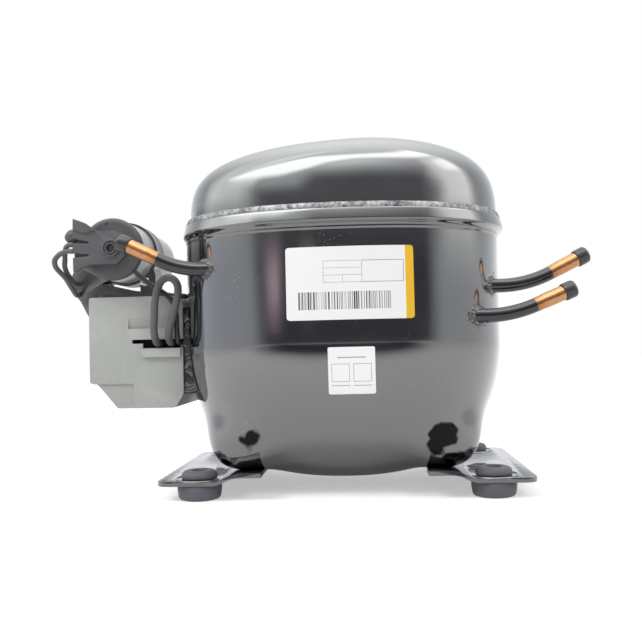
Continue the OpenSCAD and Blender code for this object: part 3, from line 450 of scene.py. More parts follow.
def flowing(points, per_span=8):
    """A smooth curve through points (Catmull-Rom)."""
    pts = [Vector(p) for p in points]
    pts = [2 * pts[0] - pts[1]] + pts + [2 * pts[-1] - pts[-2]]
    out = []
    for i in range(1, len(pts) - 2):
        p0, p1, p2, p3 = pts[i - 1:i + 3]
        for s in range(per_span):
            t = s / per_span
            out.append(0.5 * (2 * p1 + (p2 - p0) * t + (2 * p0 - 5 * p1 + 4 * p2 - p3) * t * t
                              + (3 * p1 - p0 - 3 * p2 + p3) * t ** 3))
    out.append(pts[-2])
    return out


def path_frames(path):
    """Position, side and up at each point of a path, without twist."""
    frames = []
    side = None
    for i, at in enumerate(path):
        head = (path[min(i + 1, len(path) - 1)] - path[max(i - 1, 0)]).normalized()
        if side is None:
            side = head.orthogonal().normalized()
        side = (side - head * side.dot(head)).normalized()
        frames.append((at, side, head.cross(side)))
    return frames


def around(frame_at, r, a):
    """A place at radius r and angle a about a path."""
    at, side, up = frame_at
    return at + r * (side * cos(a) + up * sin(a))


def swept(path, radius, sides=28, wobble=None):
    """A closed round form along a path; radius is a function of the point's index."""
    rings = []
    for i, frame_at in enumerate(path_frames(path)):
        rings.append([around(frame_at, radius(i) + (wobble(frame_at[0], a) if wobble else 0), a)
                      for a in round_angles(sides)])
    return loft(rings, first=path[0], last=path[-1])


def apply_modifiers(piece, sharp=35):
    """Bakes a piece's modifiers into its mesh."""
    bpy.context.view_layer.update()
    graph = bpy.context.evaluated_depsgraph_get()
    mesh = bpy.data.meshes.new_from_object(piece.evaluated_get(graph))
    old = piece.data
    piece.modifiers.clear()
    piece.data = mesh
    mesh.name = old.name
    bpy.data.meshes.remove(old)
    shade_smooth(mesh, sharp)


def combine(piece, operation, parts):
    """Adds closed forms to a piece, or takes them out of it."""
    helpers = [new_piece(f"{piece.name}_helper_{i}", part) for i, part in enumerate(parts)]
    for helper in helpers:
        modifier = piece.modifiers.new(operation, "BOOLEAN")
        modifier.operation = operation
        modifier.solver = "EXACT"
        modifier.object = helper
    apply_modifiers(piece)
    for helper in helpers:
        mesh = helper.data
        bpy.data.objects.remove(helper)
        bpy.data.meshes.remove(mesh)


def cut(piece, *parts):
    combine(piece, "DIFFERENCE", parts)


def merge(piece, *parts):
    combine(piece, "UNION", parts)


def soften(piece, width):
    """Rounds a piece's sharp edges."""
    modifier = piece.modifiers.new("soften", "BEVEL")
    modifier.width = width * MM
    modifier.segments = 2
    modifier.limit_method = "ANGLE"
    modifier.angle_limit = radians(30)
    modifier.use_clamp_overlap = True
    apply_modifiers(piece, 50)


def seat(piece, replaces=(), body="housing"):
    """Fixes a piece to a CAD body, and hides the CAD nodes it stands in for."""
    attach(piece, body)
    if replaces:
        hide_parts(*replaces)


# ---- Making materials ----
def feed(tree, value, socket):
    """Links a socket's output, or sets a plain value."""
    if isinstance(value, bpy.types.NodeSocket):
        tree.links.new(value, socket)
    elif socket.type == "RGBA" and len(value) == 3:
        socket.default_value = (*value, 1.0)
    else:
        socket.default_value = value


def dress(tree, sockets, **values):
    """Feeds several named sockets."""
    for key, value in values.items():
        feed(tree, value, sockets[key.replace("_", " ")])


def add(tree, kind, inputs=(), **settings):
    """A shader node; inputs are a dictionary, or a list of the first ones."""
    made = tree.nodes.new("ShaderNode" + kind)
    for key, value in settings.items():
        setattr(made, key, value)
    for key, value in inputs.items() if isinstance(inputs, dict) else enumerate(inputs):
        feed(tree, value, made.inputs[key])
    return made


def blended(tree, amount, a, b):
    """A colour between a and b."""
    return add(tree, "Mix", {0: amount, 6: a, 7: b}, data_type="RGBA").outputs[2]


def sums(tree, operation, *values, clamp=False):
    """One step of arithmetic."""
    return add(tree, "Math", values, operation=operation, use_clamp=clamp).outputs[0]


def plus(tree, a, b):
    return sums(tree, "ADD", a, b)


def times(tree, *values):
    """The product of several values."""
    made = values[0]
    for value in values[1:]:
        made = sums(tree, "MULTIPLY", made, value)
    return made


def stretch(tree, value, low, high, to_low=0.0, to_high=1.0, **settings):
    """Maps a value from one range to another, held at its ends."""
    return add(tree, "MapRange", {"Value": value, "From Min": low, "From Max": high,
                                  "To Min": to_low, "To Max": to_high}, **settings).outputs[0]


def between(tree, share, low, high):
    """A number between low and high, for a share of 0 to 1."""
    return stretch(tree, share, 0.0, 1.0, low, high)


def object_place(tree):
    return add(tree, "TexCoord").outputs["Object"]


def cloud(tree, scale, detail=2.0, rough=0.5, warp=0.0, place=None):
    """Noise over the object, or over a place given."""
    place = object_place(tree) if place is None else place
    return add(tree, "TexNoise", {"Vector": place, "Scale": scale, "Detail": detail,
                                  "Roughness": rough, "Distortion": warp}).outputs["Fac"]


def new_group(name, inputs, outputs):
    """An empty shader node group, what it is given and what it gives."""
    group = bpy.data.node_groups.new(name, "ShaderNodeTree")
    for label, default in inputs.items():
        socket = group.interface.new_socket(label, in_out="INPUT", socket_type="NodeSocketFloat")
        socket.default_value = default
    for label in outputs:
        group.interface.new_socket(label, in_out="OUTPUT", socket_type="NodeSocketFloat")
    source = group.nodes.new("NodeGroupInput")
    sink = group.nodes.new("NodeGroupOutput")
    return group, source.outputs, sink.inputs


def make_paint_skin():
    """Orange peel, slow unevenness and dust specks of a sprayed gloss surface."""
    group, given, out = new_group(
        "Paint skin", {"Peel Scale": 240.0, "Wave Scale": 9.0, "Wave Share": 0.6,
                       "Speck Scale": 900.0}, ["Height", "Haze", "Specks"])
    wave = times(group, cloud(group, given["Wave Scale"], 1.0, 0.4), given["Wave Share"])
    dots = add(group, "TexVoronoi", {"Vector": object_place(group),
                                     "Scale": given["Speck Scale"]}).outputs["Distance"]
    near = stretch(group, dots, 0.12, 0.2, 1.0, 0.0)
    few = stretch(group, cloud(group, 30.0, 3.0), 0.6, 0.7)
    dress(group, out, Height=plus(group, cloud(group, given["Peel Scale"]), wave),
          Haze=stretch(group, cloud(group, 26.0, 5.0, 0.62), 0.42, 0.72),
          Specks=times(group, near, few))
    return group


def make_grain():
    """Fine tooth with slow tone changes: moulded plastic, rubber, castings."""
    group, given, out = new_group(
        "Grain", {"Scale": 1500.0, "Tone Scale": 40.0, "Coarse Share": 0.3},
        ["Height", "Tone", "Smudge"])
    tone = cloud(group, given["Tone Scale"], 4.0, 0.55)
    coarse = times(group, tone, given["Coarse Share"])
    dress(group, out, Height=plus(group, cloud(group, given["Scale"], 3.0, 0.6), coarse),
          Tone=stretch(group, tone, 0.3, 0.7),
          Smudge=stretch(group, cloud(group, 14.0, 6.0, 0.7), 0.5, 0.75))
    return group


def make_tool_marks():
    """Lines left by turning, rolling or drawing, along Z with the given stretch."""
    group, given, out = new_group(
        "Tool marks", {"Scale": 400.0, "Stretch": 0.03}, ["Height", "Streak"])
    squeeze = add(group, "CombineXYZ", (given["Stretch"], given["Stretch"], 1.0)).outputs[0]
    long_way = add(group, "VectorMath", (object_place(group), squeeze), operation="MULTIPLY")
    lines = cloud(group, given["Scale"], 4.0, 0.65, place=long_way.outputs[0])
    dress(group, out, Height=lines, Streak=stretch(group, lines, 0.35, 0.65))
    return group


def make_edge_wear():
    """How much an outward edge is rubbed, broken up by noise."""
    group, given, out = new_group("Edge wear", {"Reach": 0.52, "Noise Scale": 300.0}, ["Mask"])
    edge = add(group, "NewGeometry").outputs["Pointiness"]
    nudge = stretch(group, cloud(group, given["Noise Scale"], 3.0), 0.3, 0.7, -0.02, 0.02)
    dress(group, out, Mask=stretch(group, plus(group, edge, nudge), given["Reach"], 0.6))
    return group


GROUPS = {}
FINISHES = {}
PATCH_SOFT = 0.8


def build_groups():
    GROUPS["skin"] = make_paint_skin()
    GROUPS["grain"] = make_grain()
    GROUPS["marks"] = make_tool_marks()
    GROUPS["wear"] = make_edge_wear()


def place_group(tree, name, **values):
    made = tree.nodes.new("ShaderNodeGroup")
    made.node_tree = GROUPS[name]
    dress(tree, made.inputs, **values)
    return made.outputs


def new_material(name, **constants):
    """A material with one Principled shader: its node tree and that shader's inputs."""
    material = bpy.data.materials.new(name)
    material.use_nodes = True
    tree = material.node_tree
    shader = tree.nodes["Principled BSDF"].inputs
    dress(tree, shader, **constants)
    FINISHES[name] = material
    return tree, shader


def bump(tree, shader, height, strength, distance, normal=None):
    """Bumps the surface, over another bump's normal if one is given; distance in mm."""
    made = add(tree, "Bump", {"Height": height, "Strength": strength,
                              "Distance": distance * MM})
    if normal is not None:
        feed(tree, normal, made.inputs["Normal"])
    dress(tree, shader, Normal=made.outputs["Normal"])
    return made.outputs["Normal"]


def tinted(color, factor):
    return tuple(min(1.0, c * factor) for c in color)


def patch_mask(tree, patches):
    """1 inside ragged round patches, given as places and radii in millimetres."""
    place = object_place(tree)
    uneven = stretch(tree, cloud(tree, 95.0, 1.5), 0.3, 0.7, -0.003, 0.003)
    total = 0.0
    for middle, radius in patches:
        away = add(tree, "VectorMath", (place, tuple(Vector(middle) * MM)),
                   operation="DISTANCE").outputs["Value"]
        inside = stretch(tree, plus(tree, away, uneven), (radius - PATCH_SOFT) * MM,
                         (radius + PATCH_SOFT) * MM, 1.0, 0.0)
        total = sums(tree, "MAXIMUM", total, inside)
    return total


def make_gloss_paint(name, color, rough, coat=1.0, dust=0.5, dents=0.0, dent_scale=90.0,
                     patches=()):
    """Deep gloss paint, with a little orange peel and dust, dents if asked, and black patches:
    painted reflection of the feet, partly paint drips.
    """
    tree, shader = new_material(name, IOR=1.9, Coat_Weight=coat, Coat_IOR=1.75,
                                Coat_Roughness=0.03)
    skin = place_group(tree, "skin", Speck_Scale=520.0)
    deep = blended(tree, skin["Haze"], tinted(color, 0.85), tinted(color, 1.35))
    surface = blended(tree, times(tree, skin["Specks"], dust), deep, (0.32, 0.32, 0.33))
    peel = bump(tree, shader, skin["Height"], 0.12, 0.06)
    if dents or patches:
        folds = cloud(tree, dent_scale, warp=0.6)
        if patches:
            # Inside the patches (the mask named scale) the surface is painted reflection of the
            # dark foot plates, partly paint drips: black, metallic so it mirrors almost nothing,
            # less coat, with a bump.
            scale = patch_mask(tree, patches)
            surface = blended(tree, scale, surface, (0.008, 0.008, 0.009))
            dress(tree, shader, Metallic=scale, Coat_Weight=between(tree, scale, coat, 0.06))
            folds = times(tree, folds, scale)
        bump(tree, shader, folds, 0.6, dents or 1.5, peel)
    dress(tree, shader, Base_Color=surface,
          Roughness=between(tree, skin["Haze"], rough, rough * 1.7))


def make_moulded(name, color, rough, grain=1500.0, depth=0.05, strength=0.4, dirt=0.12,
                 sheen=0.0):
    """Moulded plastic or rubber with a fine tooth and faint smudges."""
    tree, shader = new_material(name, Sheen_Weight=sheen)
    tooth = place_group(tree, "grain", Scale=grain, Tone_Scale=38.0)
    worn = place_group(tree, "wear", Reach=0.53)["Mask"]
    toned = blended(tree, tooth["Tone"], tinted(color, 0.94), tinted(color, 1.05))
    dull = blended(tree, times(tree, tooth["Smudge"], dirt), toned, tinted(color, 0.7))
    dress(tree, shader,
          Base_Color=blended(tree, times(tree, worn, 0.3), dull, tinted(color, 1.5)),
          Roughness=between(tree, tooth["Tone"], rough * 0.92, min(1.0, rough * 1.08)))
    bump(tree, shader, tooth["Height"], strength, depth)


def make_metal(name, color, rough, marks=400.0, stretch_z=0.03, cast=False, metallic=1.0):
    """Bare metal: turned, rolled or drawn, or cast with a coarse tooth."""
    tree, shader = new_material(name, Metallic=metallic)
    if cast:
        made = place_group(tree, "grain", Scale=700.0, Tone_Scale=60.0, Coarse_Share=0.8)
    else:
        made = place_group(tree, "marks", Scale=marks, Stretch=stretch_z)
    tone = made["Tone" if cast else "Streak"]
    worn = place_group(tree, "wear")["Mask"]
    base = blended(tree, tone, tinted(color, 0.6), color)
    dress(tree, shader,
          Base_Color=blended(tree, times(tree, worn, 0.5), base, tinted(color, 1.3)),
          Roughness=between(tree, tone, rough * 1.3, rough * 0.85))
    bump(tree, shader, made["Height"], 0.45 if cast else 0.15, 0.05)


def make_weld(name):
    """The weld seam: bright steel ripples with dark scale and paint mist on them."""
    tree, shader = new_material(name)
    grit = cloud(tree, 520.0, 6.0, 0.75)
    blot = stretch(tree, cloud(tree, 75.0, 4.0, 0.7), 0.3, 0.66, -0.55, 0.4)
    scale = sums(tree, "ADD", stretch(tree, grit, 0.35, 0.62), blot, clamp=True)
    dress(tree, shader,
          Base_Color=blended(tree, scale, (0.035, 0.035, 0.038), (0.44, 0.44, 0.43)),
          Metallic=between(tree, scale, 0.0, 0.35),
          Roughness=stretch(tree, grit, 0.3, 0.7, 0.25, 0.6))
    bump(tree, shader, grit, 0.6, 0.3)


def make_tube_finish(name, end, heading, copper_length):
    """Black paint up to a ragged line, bare copper beyond it, scorched at the joint."""
    tree, shader = new_material(name, Coat_Weight=0.12, Coat_IOR=1.5, Coat_Roughness=0.05,
                                IOR=1.55)
    from_end = add(tree, "VectorMath", (object_place(tree), tuple(Vector(end) * MM)),
                   operation="SUBTRACT").outputs[0]
    along = add(tree, "VectorMath", (from_end, tuple(heading)),
                operation="DOT_PRODUCT").outputs["Value"]
    ragged = stretch(tree, cloud(tree, 260.0, 3.0), 0.3, 0.7, -0.00035, 0.00035)
    moved = plus(tree, along, ragged)
    line = -copper_length * MM
    bare = stretch(tree, moved, line - 0.0001, line + 0.0001)
    heat = stretch(tree, moved, line, line + 0.006, 0.55, 0.0)
    lines = place_group(tree, "marks", Scale=900.0, Stretch=0.4)
    tooth = place_group(tree, "grain", Scale=300.0, Tone_Scale=120.0)
    copper, black = tuple(paint().copper_color), tuple(paint().paint_color)
    clean = blended(tree, lines["Streak"], tinted(copper, 0.82), tinted(copper, 1.08))
    patina = blended(tree, times(tree, tooth["Smudge"], 0.5), clean, (0.38, 0.20, 0.07))
    scorched = blended(tree, heat, patina, (0.19, 0.08, 0.035))
    skin = place_group(tree, "skin", Peel_Scale=420.0)
    dark = blended(tree, skin["Haze"], black, tinted(black, 1.5))
    dress(tree, shader, Base_Color=blended(tree, bare, dark, scorched), Metallic=bare,
          Roughness=between(tree, bare, 0.1, 0.3))
    bump(tree, shader, lines["Height"], 0.12, 0.04)


def make_braze(name):
    """The braze at a tube's root: spattered, part bright, part painted."""
    tree, shader = new_material(name, Coat_Weight=0.5)
    spatter = cloud(tree, 700.0, 5.0, 0.7)
    bright = stretch(tree, spatter, 0.56, 0.68)
    dress(tree, shader,
          Base_Color=blended(tree, bright, (0.012, 0.012, 0.014), (0.42, 0.42, 0.41)),
          Metallic=times(tree, bright, 0.8),
          Roughness=stretch(tree, spatter, 0.3, 0.7, 0.15, 0.45))
    bump(tree, shader, spatter, 0.8, 0.3)


def make_winding(name):
    """Enamelled copper wire laid in turns round the motor's axis."""
    tree, shader = new_material(name, Coat_Weight=0.6, Metallic=0.7)
    rings = add(tree, "TexWave", {"Vector": object_place(tree), "Scale": 160.0,
                                  "Distortion": 2.0, "Detail": 2.0, "Detail Scale": 1.5},
                wave_type="RINGS", rings_direction="Z").outputs["Fac"]
    tone = cloud(tree, 90.0, 3.0)
    copper = blended(tree, tone, (0.32, 0.11, 0.035), (0.62, 0.26, 0.09))
    dress(tree, shader, Base_Color=blended(tree, stretch(tree, rings, 0.0, 0.35),
                                           (0.07, 0.025, 0.012), copper),
          Roughness=stretch(tree, tone, 0.3, 0.7, 0.28, 0.42))
    bump(tree, shader, rings, 0.8, 0.4)


def make_laminations(name):
    """Stacked thin sheets: fine level lines on blued steel."""
    tree, shader = new_material(name, Metallic=0.9)
    sheets = add(tree, "TexWave", {"Vector": object_place(tree), "Scale": 620.0,
                                   "Distortion": 0.4, "Detail": 1.0},
                 wave_type="BANDS", bands_direction="Z").outputs["Fac"]
    tone = cloud(tree, 50.0, 5.0)
    steel = blended(tree, tone, (0.13, 0.14, 0.17), (0.32, 0.33, 0.36))
    dress(tree, shader, Base_Color=blended(tree, stretch(tree, sheets, 0.1, 0.5),
                                           (0.05, 0.05, 0.055), steel),
          Roughness=stretch(tree, tone, 0.3, 0.7, 0.32, 0.5))
    bump(tree, shader, sheets, 0.5, 0.12)


def make_print(name, color, rough):
    """Printed or plain label film: satin, very slightly uneven."""
    tree, shader = new_material(name, Coat_Weight=0.25, Coat_Roughness=0.2)
    tooth = place_group(tree, "grain", Scale=900.0, Tone_Scale=22.0)
    dress(tree, shader,
          Base_Color=blended(tree, tooth["Tone"], tinted(color, 0.96), tinted(color, 1.01)),
          Roughness=between(tree, tooth["Smudge"], rough, rough + 0.12))
    bump(tree, shader, tooth["Height"], 0.08, 0.03)


# Black patches on the bowl's low front lobes, beside the feet: painted reflection of the dark
# foot plates, partly paint drips.
FOOT_REFLECTION_AND_DRIP_PATCHES = [((-50.5, -62.2, 33.2), 4.6), ((-65.5, -51.8, 20.5), 5.6),
                 ((55.0, -61.6, 34.5), 7.6), ((50.5, -60.0, 29.0), 5.0),
                 ((59.5, -54.0, 21.5), 5.2)]
MOULDED = (
    ("cap_rubber", (0.03, 0.03, 0.033), 0.27, {"grain": 1200.0}),
    ("can_skin", (0.76, 0.77, 0.76), 0.35, {"grain": 1400.0, "depth": 0.015, "strength": 0.2}),
    ("black_sleeve", (0.02, 0.02, 0.022), 0.42, {"grain": 800.0, "depth": 0.03}),
    ("relay_plastic", (0.035, 0.035, 0.038), 0.45, {}),
    ("muffler_plastic", (0.60, 0.58, 0.49), 0.5, {}),
    ("plug_plastic", (0.74, 0.70, 0.60), 0.42, {}),
    ("blue_wire", (0.04, 0.07, 0.34), 0.4, {}),
    ("gasket_fibre", (0.11, 0.14, 0.11), 0.8, {"grain": 500.0, "depth": 0.08}),
    ("pin_glass", (0.16, 0.30, 0.22), 0.15, {}),
)
METALS = (
    ("bright_screw", (0.78, 0.78, 0.79), 0.2, {"marks": 900.0}),
    ("spring_steel", (0.42, 0.43, 0.45), 0.32, {}),
    ("plain_steel", (0.40, 0.41, 0.42), 0.38, {}),
    ("turned_shaft", (0.52, 0.53, 0.54), 0.25, {"marks": 1200.0}),
    ("reed_steel", (0.66, 0.69, 0.72), 0.18, {}),
    ("pin_metal", (0.68, 0.60, 0.42), 0.3, {}),
    ("iron_casting", (0.20, 0.205, 0.21), 0.55, {"cast": True, "metallic": 0.8}),
    ("alloy_casting", (0.66, 0.67, 0.69), 0.42, {"cast": True}),
    ("sintered_iron", (0.30, 0.31, 0.33), 0.45, {"cast": True}),
    ("brazed_shell", (0.38, 0.27, 0.15), 0.4, {"cast": True}),
    ("copper_line", (0.78, 0.38, 0.20), 0.3, {"marks": 700.0, "stretch_z": 0.5}),
)
PRINTS = (("label_film", (0.90, 0.90, 0.91), 0.35), ("label_yellow", (0.86, 0.50, 0.01), 0.35),
          ("label_ink", (0.03, 0.03, 0.035), 0.45),
          ("label_grey_ink", (0.34, 0.35, 0.37), 0.45))


def build_finishes():
    black = tuple(paint().paint_color)
    make_gloss_paint("housing_paint", black, paint().paint_rough, dent_scale=150.0,
                     patches=FOOT_REFLECTION_AND_DRIP_PATCHES)
    make_gloss_paint("dome_paint", black, paint().paint_rough)
    make_gloss_paint("foot_paint", tinted(black, 1.2), 0.14, coat=0.7, dust=0.2, dents=1.6,
                     dent_scale=75.0)
    make_gloss_paint("fence_paint", tinted(black, 0.9), 0.2, coat=0.0, dust=0.2, dents=3.0,
                     dent_scale=110.0)
    make_gloss_paint("bracket_paint", (0.022, 0.021, 0.026), 0.26, coat=0.3, dust=0.2)
    make_weld("weld_steel")
    make_braze("braze_metal")
    make_moulded("grommet_rubber", tuple(paint().rubber_color), 0.62, grain=900.0, dirt=0.25,
                 sheen=0.15)
    make_moulded("cover_plastic", tuple(electrics().cover_color), 0.52, grain=1900.0,
                 depth=0.02, strength=0.25, dirt=0.08)
    make_moulded("end_cap_plastic", tuple(electrics().end_cap_color), 0.5, depth=0.03)
    make_moulded("lead_sleeve", tuple(electrics().lead_color), 0.5, grain=800.0, depth=0.03)
    for name, color, rough, options in MOULDED:
        make_moulded(name, color, rough, **options)
    for name, color, rough, options in METALS:
        make_metal(name, color, rough, **options)
    for name, color, rough in PRINTS:
        make_print(name, color, rough)
    make_winding("enamelled_wire")
    make_laminations("laminations")


# ---- Camera, and places seen through it ----
CAMERA_AT = Vector((17.45, -499.7, 85.0))
CAMERA_TURN = 2.0
CAMERA_ROLL = 1.4
CAMERA_AIM_X = -0.02945
CAMERA_AIM_Z = 0.03092
SENSOR = 36.0
SHIFT_X = 0.0
SHIFT_Y = 0.0


def camera_matrix():
    """Camera's place and axes, in millimetres."""
    turn, roll = radians(CAMERA_TURN), radians(CAMERA_ROLL)
    ahead = Vector((-sin(turn), cos(turn), 0))
    across = Vector((cos(turn), sin(turn), 0))
    view = (ahead + CAMERA_AIM_X * across + CAMERA_AIM_Z * Z_AXIS).normalized()
    right = across * cos(roll) - Z_AXIS * sin(roll)
    right = (right - view * right.dot(view)).normalized()
    up = right.cross(view)
    axes = Matrix((right, up, -view)).transposed()
    return Matrix.Translation(CAMERA_AT) @ axes.to_4x4()


def sight(point):
    """Ray through an image point: where it starts and which way it goes."""
    long_side = max(FRAME_W, FRAME_H)
    matrix = camera_matrix()
    local = Vector((point[0] - FRAME_W / 2 + SHIFT_X * long_side,
                    FRAME_H / 2 - point[1] + SHIFT_Y * long_side,
                    -long_side * stage_look().camera_lens / SENSOR))
    return matrix.translation, (matrix.to_3x3() @ local).normalized()


def in_image(place):
    """Image point of a place in millimetres."""
    long_side = max(FRAME_W, FRAME_H)
    local = camera_matrix().inverted() @ Vector(place)
    scale = long_side * stage_look().camera_lens / SENSOR / -local.z
    return (local.x * scale + FRAME_W / 2 - SHIFT_X * long_side,
            FRAME_H / 2 + SHIFT_Y * long_side - local.y * scale)


def finished_points(piece):
    """Places of a piece's vertices as finished and placed, in millimetres."""
    graph = bpy.context.evaluated_depsgraph_get()
    done = piece.evaluated_get(graph)
    mesh = done.to_mesh()
    places = [piece.matrix_world @ v.co / MM for v in mesh.vertices]
    faces = [tuple(p.vertices) for p in mesh.polygons]
    done.to_mesh_clear()
    return places, faces


def surface_of(*names):
    bpy.context.view_layer.update()
    places, faces = joined([finished_points(bpy.data.objects[name]) for name in names])
    return BVHTree.FromPolygons(places, faces), places


def on_surface(point, surface):
    """Place and normal where an image point meets a surface; a miss takes the nearest place."""
    tree, places = surface
    start, way = sight(point)
    hit, normal, _, _ = tree.ray_cast(start, way)
    if hit is None:
        near = min(places, key=lambda p: (p - start - way * (p - start).dot(way)).length)
        hit, normal, _, _ = tree.find_nearest(near)
    return hit, normal if normal.dot(way) < 0 else -normal


# ---- Housing ----
def even_tilts(power, count):
    """Angles that space rings evenly over a rounded end."""
    return [degrees(atan(tan(pi / 2 * i / count) ** (power / 2)))
            for i in range(count)]


# share of the way out to the rim, start above the flare, height
WALL_STEPS = ((0.16, 0.9, 1.1), (0.84, 2.7, 3.5))
LEAN_POWER = 1.3


def wall_ring(z, grow=0.0):
    """A ring of the upright wall: it steps out to the rim in two steps, then leans back in."""
    share = sum(part * smooth_step((z - FLARE_Z - start) / height)
                for part, start, height in WALL_STEPS)
    up = max(0.0, (z - LEDGE_Z) / (RIM_TOP - LEDGE_Z))
    lean = RIM_LEAN * up ** LEAN_POWER * min(1.0, 1 + grow / WALL)
    ring = []
    for a in round_angles():
        r = bowl_radius(a, grow) * (1 - share) + rim_radius(a, grow - lean) * share
        ring.append(polar(r, a, z))
    return ring


def wall_levels(top):
    """Heights of the wall's rings, close together at the step."""
    levels = [ROUND_TOP + 3.0 * i for i in range(1, 18)]
    levels += [FLARE_Z + 0.25 * i for i in range(2, 27)]
    while levels[-1] < top - 2:
        levels.append(levels[-1] + 2)
    return levels + [top]


def bowl_rings(grow):
    rings = [bottom_ring(t, grow) for t in reversed(even_tilts(BOTTOM_POWER, 64))]
    return rings + [wall_ring(z, grow) for z in wall_levels(RIM_TOP - 0.5)]


def bowl_form(grow):
    """The lower housing's outside as a closed form, for cutting."""
    rings = bowl_rings(grow)
    return loft(rings, first=(0, 0, BOTTOM_Z - grow), last=(0, 0, RIM_TOP - 0.5))


def tube_matrix(name):
    """Frame of a tube at its start: +X leads out of the housing."""
    start, turn = TUBES[name][:2]
    return Matrix.Translation(Vector(start)) @ Matrix.Rotation(radians(turn), 4, "Z")


def solid_rod(radius, low, high, steps=48):
    return lathe([(0, low), (radius, low), (radius, high), (0, high)], steps)


def build_lower_housing():
    lip = [wall_ring(RIM_TOP - 0.2, -0.12), wall_ring(RIM_TOP, -0.5),
           wall_ring(RIM_TOP, 0.5 - WALL), wall_ring(RIM_TOP - 0.2, 0.12 - WALL)]
    rings = bowl_rings(0) + lip + bowl_rings(-WALL)[::-1]
    bowl = new_piece("lower_shell", loft(rings, first=(0, 0, BOTTOM_Z),
                                         last=(0, 0, BOTTOM_Z + WALL)),
                     "housing_paint", sharp=50)
    holes = [placed(solid_rod(TUBE_R + 0.05, -24, 24), tube_matrix(name) @ LAY_ALONG_X)
             for name in TUBES]
    low, high = cad_box_mm("terminal_header")
    holes.append(placed(solid_rod((high.z - low.z) / 2 + 0.05, -20, 20, 96),
                        Matrix.Translation((low + high) / 2) @ LAY_ALONG_X))
    cut(bowl, *holes)
    seat(bowl, ["lower_housing"])


def build_dome():
    tilts = even_tilts(3.95, 72)
    rings = [dome_ring(t, -WALL) for t in tilts[::-1]] + [dome_ring(t) for t in tilts]
    top = SHOULDER_Z + dome_rise(0)
    dome = new_piece("upper_shell", loft(rings, first=(0, 0, top - WALL), last=(0, 0, top)),
                     "dome_paint", sharp=50)
    seat(dome, ["upper_housing"])


WELD_SECTION = [(-3.1, 0.05), (-3.4, 1.5), (-3.5, 2.7), (-3.1, 3.15), (-2.6, 3.05),
                (-2.25, 2.4), (-1.95, 1.6), (-1.75, 0.8), (-1.7, 0.05)]
WELD_MIDDLE, WELD_FOOT = -2.5, 0.05
WELD_RADIUS = 92
WELD_STEPS = 1080


def build_weld():
    """The seam between the two shells: a laid bead with overlapping ripples."""
    rings = []
    for k, (grow, rise) in enumerate(WELD_SECTION):
        ring = []
        for a in round_angles(WELD_STEPS):
            arc = a * WELD_RADIUS
            ripple = 0.08 * abs(sin(pi * arc / 1.9 + 0.5 * k)) - 0.04
            lump = 0.08 * noise.noise(Vector((arc * 0.12, k * 0.4, 3.1)))
            free = 0 < k < len(WELD_SECTION) - 1
            size = 1 + (ripple + lump if free else 0)
            r = rim_radius(a, WELD_MIDDLE + (grow - WELD_MIDDLE) * min(size, 1.12))
            rise_now = max(0.0, rise - WELD_FOOT) * size
            ring.append(polar(r, a, RIM_TOP + WELD_FOOT + rise_now))
        rings.append(ring)
    bead = new_piece("weld_bead", loft(rings, loop=True), "weld_steel", sharp=70)
    seat(bead, ["housing_weld"])


class CompressorAddHousing(bpy.types.Operator):
    """Builds the two pressed shells and the weld that joins them"""

    bl_idname = "compressor.add_housing"
    bl_label = "Housing"

    def execute(self, context):
        build_lower_housing()
        build_dome()
        build_weld()
        return {"FINISHED"}


# ---- Feet ----
FOOT_LOW, FOOT_HIGH = cad_box_mm("right_foot_plate")
FOOT_OUTER = FOOT_HIGH.x
FOOT_HALF = FOOT_HIGH.y
FOOT_Z = FOOT_LOW.z
FOOT_SHEET = 2.6
FOOT_RISE = FOOT_HIGH.z - FOOT_LOW.z - FOOT_SHEET
FOOT_CORNER = 7.0
FOOT_BEND = HOLE_X - 12.5
FOOT_INNER = 46.0
BEAD_R = 0.9
GROMMET_R = 12.5
NECK_R = 7.5
BORE_R = 3.4


def foot_section():
    """A foot plate seen from the front: level at the grommets, raised towards the bowl."""
    low, top = FOOT_Z, FOOT_Z + FOOT_SHEET
    return rounded([(FOOT_OUTER, low), (FOOT_OUTER, top), (FOOT_BEND, top),
                    (FOOT_BEND - 9, top + FOOT_RISE), (FOOT_INNER, top + FOOT_RISE),
                    (FOOT_INNER, low + FOOT_RISE), (FOOT_BEND - 8.2, low + FOOT_RISE),
                    (FOOT_BEND + 0.8, low)], [0.5, 0.5, 3, 3, 0.3, 0.3, 3, 3], 5)


def foot_corner(side):
    """What is taken off a plate's outer corner to round it."""
    middle_x, middle_y = FOOT_OUTER - FOOT_CORNER, side * (FOOT_HALF - FOOT_CORNER)
    arc = [(middle_x + FOOT_CORNER * cos(pi / 2 * i / 12),
            middle_y + side * FOOT_CORNER * sin(pi / 2 * i / 12)) for i in range(13)]
    far = FOOT_OUTER + 2, side * (FOOT_HALF + 2)
    return prism([far, (far[0], middle_y)] + arc + [(middle_x, far[1])], 0, 40, "z")


def build_foot(name, side, node):
    """One foot plate; the left one is built as the right one and then mirrored."""
    plate = new_piece(name, prism(foot_section(), -FOOT_HALF, FOOT_HALF), "foot_paint")
    top = FOOT_Z + FOOT_SHEET
    at_holes = [Matrix.Translation((HOLE_X, y, 0)) for y in (-HOLE_Y, HOLE_Y)]
    ring = [(GROMMET_R + BEAD_R + BEAD_R * cos(a), top - 0.35 + BEAD_R * sin(a))
            for a in round_angles(12)]
    merge(plate, *[placed(lathe(ring, 72), at) for at in at_holes])
    corners = [foot_corner(-1), foot_corner(1)]
    holes = [placed(solid_rod(NECK_R + 0.05, 0, 30, 72), at) for at in at_holes]
    if side < 0:
        mirror = Matrix.Scale(-1, 4, (1, 0, 0))
        plate.data.transform(mirror)
        tidy_mesh(plate.data)
        corners, holes = [[placed(part, mirror) for part in group] for group in (corners, holes)]
    cut(plate, *corners, bowl_form(0.05), *holes)
    soften(plate, 0.35)
    seat(plate, [node])


